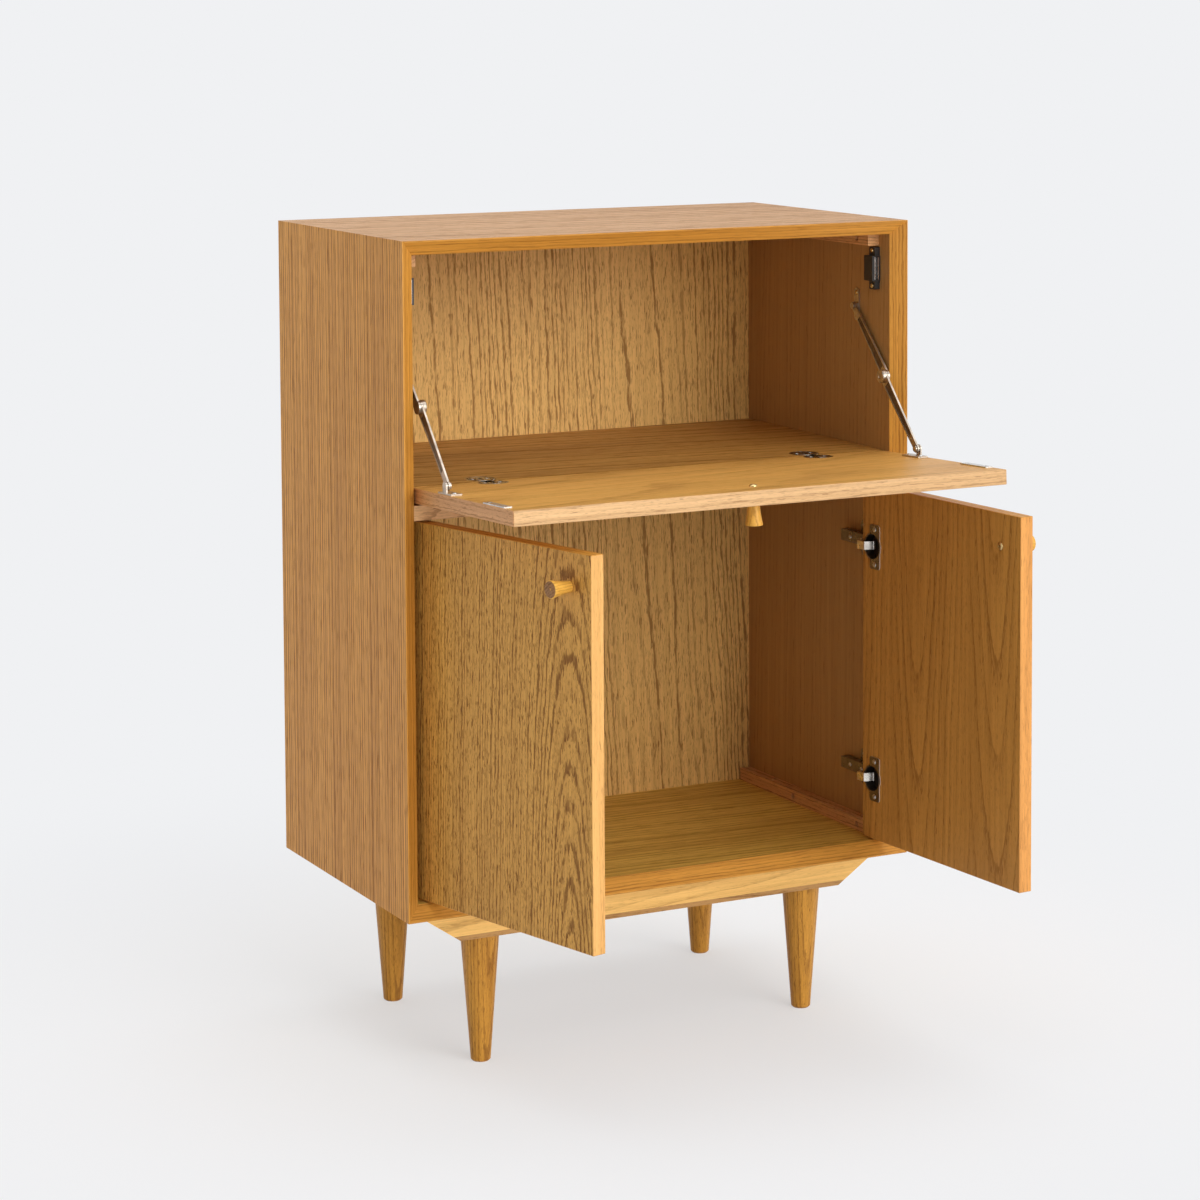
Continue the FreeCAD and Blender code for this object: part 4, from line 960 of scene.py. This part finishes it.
class CABINET_OT_hinge_discs(bpy.types.Operator):
    """Presses a ring, a slot and two screw dimples into each flush disc of the flap hinges"""
    bl_idname = "cabinet.hinge_discs"
    bl_label = "Flap hinge discs"

    def die(self):
        """What is pressed into one disc, whose face lies on the origin."""
        s = settings("sizes")
        proud, ring_deep, dimple_deep, slot_deep = 0.0006, 0.0006, 0.0012, 0.0008
        play, past = 0.0005, 0.0009   # round a screw's head, of the core beyond the ring
        ring = cylinder("disc_die", s.disc_ring, ring_deep + proud, 56, (0, 0, -ring_deep))
        combine(ring, cylinder("disc_core", s.disc_ring - s.disc_groove,
                               ring_deep + proud + 2 * past, 56, (0, 0, -ring_deep - past)))
        dimples = [cylinder("disc_dimple", s.disc_screw + play, dimple_deep + proud, 28,
                            (side * s.disc_screw_out, 0, -dimple_deep)) for side in (-1, 1)]
        slot = block("disc_slot", (0.0036, 0.013, slot_deep + proud), (proud - slot_deep) / 2)
        choose(ring, *dimples, slot)
        bpy.ops.object.join()
        return ring

    def execute(self, context):
        p, s = settings("places"), settings("sizes")
        die = self.die()
        screw = cross_head("disc_screw_pattern", s.disc_screw, height=0.0009, sides=24)
        head_z = -0.00115   # base of a head, under the disc's face
        halves = {"shelf": ("case", Matrix(), p.shelf_disc_y),
                  "flap": ("flap", flap_matrix(), p.flap_disc_y)}
        for half, (body, matrix, y) in halves.items():
            node = f"flap_hinge_{half}_cups"
            piece = merged_copy(node, f"pressed_{half}_discs")
            screws = []
            for sign in (-1, 1):
                place = matrix @ seat((sign * p.flap_hinge_x, y, p.shelf_top), UP)
                stamp = new_object("stamp", die.data.copy())
                stamp.data.transform(place)
                combine(piece, stamp)
                screws += [place @ seat((side * s.disc_screw_out, 0, head_z), UP, 0.5 + side)
                           for side in (-1, 1)]
            smooth_edges(piece, 30)
            # The discs' dark, warm steel is a painted reflection of the brown inside.
            coat(piece, metal("disc"))
            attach(piece, body)
            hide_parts(node)
            set_screws(screw, f"{half}_disc_screws", body, "steel", screws)
        discard(die, screw)
        return {"FINISHED"}


# --- operators: knobs and screws --------------------------------------------------
class CABINET_OT_knobs(bpy.types.Operator):
    """Turns the three knobs and sets them on the flap and the doors"""
    bl_idname = "cabinet.knobs"
    bl_label = "Knobs"

    def shape(self):
        """Knob flaring from its base to a softly rounded end."""
        s = settings("sizes")
        base, end, length = s.knob_base, s.knob_end, s.knob_length
        radii = [(0.04, base + 0.0001), (0.24, 0.9 * base + 0.1 * end + 0.0001),
                 (0.46, 0.68 * base + 0.32 * end), (0.68, 0.40 * base + 0.60 * end),
                 (0.86, 0.14 * base + 0.86 * end), (0.935, end), (0.965, end - 0.0003),
                 (0.985, end - 0.0010), (0.994, end - 0.0024), (0.9985, 0.5 * end),
                 (1.0, 0.12 * end)]
        low, before = radii[0][0], base
        knob = cylinder("knob_pattern", base, low * length, 40)
        edit(knob)
        for high, after in radii[1:]:
            raise_top(knob, (high - low) * length, before, after)
            low, before = high, after
        smooth_edges(knob, 50)
        return knob

    def execute(self, context):
        c = settings("colours")
        pattern = self.shape()
        for node, (body, matrix) in knob_seats(inner=False).items():
            at = matrix.translation
            drawn = dict(turn=tuple(matrix.inverted().to_euler()), about=tuple(at),
                         shift=tuple(-at))
            wood = oak(f"{node}_oak", c.knob, ring_spacing=0.0032, heart_side=0.012,
                       heart_depth=0.016, taper=0.05, waver=0.004, pore_width=0.0006,
                       pore_length=0.006, pore_share=-0.1, contrast=0.8, pore_depth=0.35,
                       roughness=0.34, **drawn)
            end = oak(f"{node}_end_oak", c.knob_end, "xzy", ring_spacing=0.0024,
                      heart_side=0.02, heart_depth=0.02, taper=0.6, waver=0.002,
                      pore_width=0.0007, pore_length=0.0012, pore_share=0.6, ticks=1.0,
                      pore_depth=0.6, roughness=0.55, **drawn)
            piece = set_out(pattern, f"turned_{node}", body, wood, [matrix])
            piece.data.materials.append(end)
            at_end = facing(matrix.to_3x3() @ Vector(UP), 0.8)
            for face in piece.data.polygons:
                face.material_index = int(at_end(face.center, face.normal))
            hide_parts(node)
        discard(pattern)
        return {"FINISHED"}


class CABINET_OT_knob_screws(bpy.types.Operator):
    """Puts the knobs' cross-recessed screws through the flap and the doors"""
    bl_idname = "cabinet.knob_screws"
    bl_label = "Knob screws"

    def execute(self, context):
        radius = settings("sizes").knob_screw_head
        pattern = cross_head("knob_screw_pattern", radius, height=0.0026, sides=28)
        for knob, (body, matrix) in knob_seats(True, flap_spin=0.5, door_spin=0.3).items():
            node = f"{knob}_screw"
            piece = set_screws(pattern, f"cross_{node}", body, "brass", [matrix])
            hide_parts(node)
        discard(pattern)
        return {"FINISHED"}


class CABINET_OT_case_screws(bpy.types.Operator):
    """Sets the screws of battens, hinge plates, catches and brackets in the case"""
    bl_idname = "cabinet.case_screws"
    bl_label = "Screws in the case"

    def cleat_seats(self):
        """Two screws into the side board and two into the top or bottom, in each batten."""
        p = settings("places")
        middle, head = 0.010, 0.008   # from one board to a screw, from the other to its head
        sideways_y, upright_y = (-0.132, 0.033), (-0.086, 0.098)
        seats = []
        for sign in (-1, 1):
            for level, way in ((p.room_top, -1), (p.room_floor, 1)):
                for number, y in enumerate(sideways_y):
                    place = (sign * (p.inner_half - middle), y, level + way * head)
                    seats.append(seat(place, (-sign, 0, 0), 0.4 + number))
                for number, y in enumerate(upright_y):
                    place = (sign * (p.inner_half - head), y, level + way * middle)
                    seats.append(seat(place, (0, 0, way), 0.9 + number))
        return seats

    def execute(self, context):
        p, s = settings("places"), settings("sizes")
        wide = cross_head("cleat_screw_pattern", s.cleat_screw, height=0.0026)
        small = cross_head("plate_screw_pattern", s.plate_screw, height=0.0013)
        set_screws(wide, "batten_screws", "case", "steel", self.cleat_seats())
        hinges = (p.low_hinge, p.high_hinge)
        # Finish, distance off the side board, and each screw's depth, height and spin.
        rows = {
            "hinge_plate_screws": ("steel", 0.0018, [
                (-0.128, z + step, step * 90) for z in hinges for step in (-0.0165, 0.0165)]),
            "hinge_adjusting_screws": ("steel", 0.0135, [
                (y, z, y * 17) for z in hinges for y in (-0.140, -0.112)]),
            "catch_screws": ("brass", 0.0075, [
                (-0.15555, p.catch_z + step, step * 50) for step in (-0.0225, 0.0225)]),
            "stay_bracket_screws": ("brass", 0.0016, [
                (p.stay_y, p.stay_z + step, step * 70) for step in (-0.013, 0.017)]),
        }
        for name, (finish, off, places) in rows.items():
            seats = [seat((sign * (p.inner_half - off), y, z), (-sign, 0, 0), spin)
                     for sign in (-1, 1) for y, z, spin in places]
            set_screws(small, name, "case", finish, seats)
        discard(wide, small)
        return {"FINISHED"}


class CABINET_OT_door_screws(bpy.types.Operator):
    """Sets the screws of the hinge flanges on both doors"""
    bl_idname = "cabinet.door_screws"
    bl_label = "Screws on the doors"

    def execute(self, context):
        p, s = settings("places"), settings("sizes")
        pattern = cross_head("flange_screw_pattern", s.plate_screw * 1.15, height=0.0014)
        y = p.door_face_y + p.board + p.flange
        for side, sign in SIDES.items():
            x = sign * (p.door_edge - p.flange_screw_in)
            seats = [door_matrix(side) @ seat((x, y, z + step), (0, 1, 0), step * 40)
                     for z in (p.low_hinge, p.high_hinge) for step in (-0.0225, 0.0225)]
            set_screws(pattern, f"{side}_flange_screws", f"{side}_door", "steel", seats)
        discard(pattern)
        return {"FINISHED"}


class CABINET_OT_flap_screws(bpy.types.Operator):
    """Sets the screws of the stay feet and the strikes on the flap"""
    bl_idname = "cabinet.flap_screws"
    bl_label = "Screws on the flap"

    def execute(self, context):
        p, s = settings("places"), settings("sizes")
        small = cross_head("foot_screw_pattern", s.plate_screw * 0.9, height=0.0012)
        flush = cross_head("strike_screw_pattern", s.strike_screw, height=0.0013)
        foot_x, foot_top, foot_steps = 0.3157, 0.002, (-0.013, 0.013)
        strike_x, strike_ends = 0.318, (0.037, 0.076)   # across, and from the free end
        feet, strikes = [], []
        for sign in (-1, 1):
            for step in foot_steps:
                place = (sign * foot_x, p.flap_heel_y - p.foot_along + step,
                         p.shelf_top + foot_top)
                feet.append(flap_matrix() @ seat(place, UP, step * 60))
            for along in (p.flap_length - end for end in strike_ends):
                place = (sign * strike_x, p.flap_heel_y - along, p.shelf_top)
                strikes.append(flap_matrix() @ seat(place, UP, along * 9))
        set_screws(small, "stay_foot_screws", "flap", "steel", feet)
        set_screws(flush, "strike_screws", "flap", "steel", strikes)
        discard(small, flush)
        return {"FINISHED"}


# --- studio -----------------------------------------------------------------------
class CABINET_OT_studio(bpy.types.Operator):
    """Sets up the floor, the soft light and the camera"""
    bl_idname = "cabinet.studio"
    bl_label = "Studio"

    def floor(self):
        """Pale floor that lightens its shadow near the object and fades to plain backdrop."""
        s = settings("studio")
        leave_all()
        bpy.ops.mesh.primitive_plane_add(size=400, location=(0, 0, 0))
        floor = applied("studio_floor")
        made, w, shader, place = bare_material("studio_floor")
        surface = shader.outputs[0].links[0].to_socket
        mottle = w.noise(place, scale=3)
        w.fill(shader, roughness=0.9, base_color=w.blend(
            mottle, rgba(s.backdrop, (0.985, 0.985, 0.985)), rgba(s.backdrop)))
        shader.inputs["Specular IOR Level"].default_value = 0.1
        away = w.place("VectorMath", operation="LENGTH")
        away = w.fill(away, w.stretch(place, (1, 1, 0)))["Value"]
        clear = w.ramp(away, s.plain_from, s.plain_to)
        even = w.less(1.0, w.math("POWER", w.less(1.0, clear), 3.0))
        glow = w.fill(w.place("Emission"), color=w.blend(
            even, rgba(s.floor_glow), rgba(s.backdrop)))[0]
        path = w.place("LightPath").outputs
        seen = w.math("MAXIMUM", path["Is Camera Ray"], path["Is Glossy Ray"])
        share = w.onto(clear, 1.0 - s.glow_share, s.glow_share)
        w.feed(surface, w.mix(w.times(seen, share), shader.outputs[0], glow))
        floor.data.materials.append(made)

    def sun(self, name, strength, spread, direction, tint):
        """Far lamp that shines from a direction, softened over a spread in degrees."""
        lamp = bpy.data.lights.new(name, "SUN")
        lamp.energy, lamp.angle, lamp.color = strength, math.radians(spread), tint
        new_object(name, lamp).rotation_euler = (
            Vector(direction).to_track_quat("Z", "Y").to_euler())

    def lamps(self):
        """Two soft suns in an even world that shows the backdrop."""
        s = settings("studio")
        self.sun("key", s.key, 50, (0.28, -0.94, 0.18), tint=(1.0, 0.99, 0.975))
        self.sun("overhead", s.overhead, 60, (0.1, -0.1, 0.98), tint=(0.99, 0.99, 1.0))
        world = bpy.data.worlds.new("studio")
        bpy.context.scene.world = world
        world.use_nodes = True
        world.node_tree.nodes.clear()
        w = Wiring(world.node_tree)
        depth = w.split(w.place("TexCoord").outputs["Generated"])["Y"]
        even, mirrored, seen = (
            w.fill(w.place("Background"), colour, strength)[0] for colour, strength in (
                ((1, 1, 1, 1), s.sky),
                (rgba(s.backdrop), w.ramp(depth, -0.95, -0.2, 0.3, 1.0)),
                (rgba(s.backdrop), 1.0)))
        path = w.place("LightPath").outputs
        watched = w.math("MAXIMUM", path["Is Camera Ray"], path["Is Transmission Ray"])
        light = w.mix(watched, w.mix(path["Is Glossy Ray"], even, mirrored), seen)
        w.fill(w.place("OutputWorld"), surface=light)

    def camera(self):
        """Camera turned by its yaw, pitch and roll, with its axis off the picture's middle."""
        s = settings("studio")
        yaw, pitch, roll = s.yaw, s.pitch, s.roll
        ahead = Vector((math.sin(yaw) * math.cos(pitch), math.cos(yaw) * math.cos(pitch),
                        math.sin(pitch)))
        level = Vector((math.cos(yaw), -math.sin(yaw), 0))
        upright = level.cross(ahead)
        right = math.cos(roll) * level + math.sin(roll) * upright
        up = math.cos(roll) * upright - math.sin(roll) * level
        lens = bpy.data.cameras.new("camera")
        lens.sensor_width, lens.sensor_fit = 36.0, "HORIZONTAL"
        lens.lens = lens.sensor_width * s.focal
        lens.shift_x, lens.shift_y = 0.5 - s.centre_x, s.centre_y - 0.5
        lens.clip_start, lens.clip_end = 0.05, 600
        camera = new_object("camera", lens)
        turn = Matrix((right, up, -ahead)).transposed().to_4x4()
        camera.matrix_world = Matrix.Translation((s.camera_x, s.camera_y, s.camera_z)) @ turn
        bpy.context.scene.camera = camera

    def execute(self, context):
        self.floor()
        self.lamps()
        self.camera()
        context.scene.view_settings.view_transform = "Standard"
        return {"FINISHED"}


# --- panel and registration -------------------------------------------------------
PIECES = (CABINET_OT_studio, CABINET_OT_case_boards, CABINET_OT_flap, CABINET_OT_doors,
          CABINET_OT_base, CABINET_OT_cleats, CABINET_OT_metalwork, CABINET_OT_hinge_discs,
          CABINET_OT_knobs, CABINET_OT_knob_screws, CABINET_OT_case_screws,
          CABINET_OT_door_screws, CABINET_OT_flap_screws)


class CABINET_PT_panel(bpy.types.Panel):
    """Lists the cabinet's pieces and settings"""
    bl_label = "Bar cabinet"
    bl_idname = "CABINET_PT_panel"
    bl_space_type = "VIEW_3D"
    bl_region_type = "UI"
    bl_category = "Cabinet"

    def draw(self, context):
        for piece in PIECES:
            self.layout.operator(piece.bl_idname)
        for part, group in SETTINGS.items():
            box = self.layout.box()
            box.label(text=part.title())
            for name in group.__annotations__:
                box.prop(settings(part), name)


CLASSES = (*SETTINGS.values(), *PIECES, CABINET_PT_panel)


def register():
    for one in CLASSES:
        bpy.utils.register_class(one)
    for part, group in SETTINGS.items():
        setattr(bpy.types.Scene, "cabinet_" + part, PointerProperty(type=group))


def unregister():
    for part in SETTINGS:
        delattr(bpy.types.Scene, "cabinet_" + part)
    for one in reversed(CLASSES):
        bpy.utils.unregister_class(one)


def main():
    """Makes every piece in order."""
    register()
    leave_all()
    for piece in PIECES:
        group, name = piece.bl_idname.split(".")
        getattr(getattr(bpy.ops, group), name)()
    leave_all()


if __name__ == "__main__":
    main()
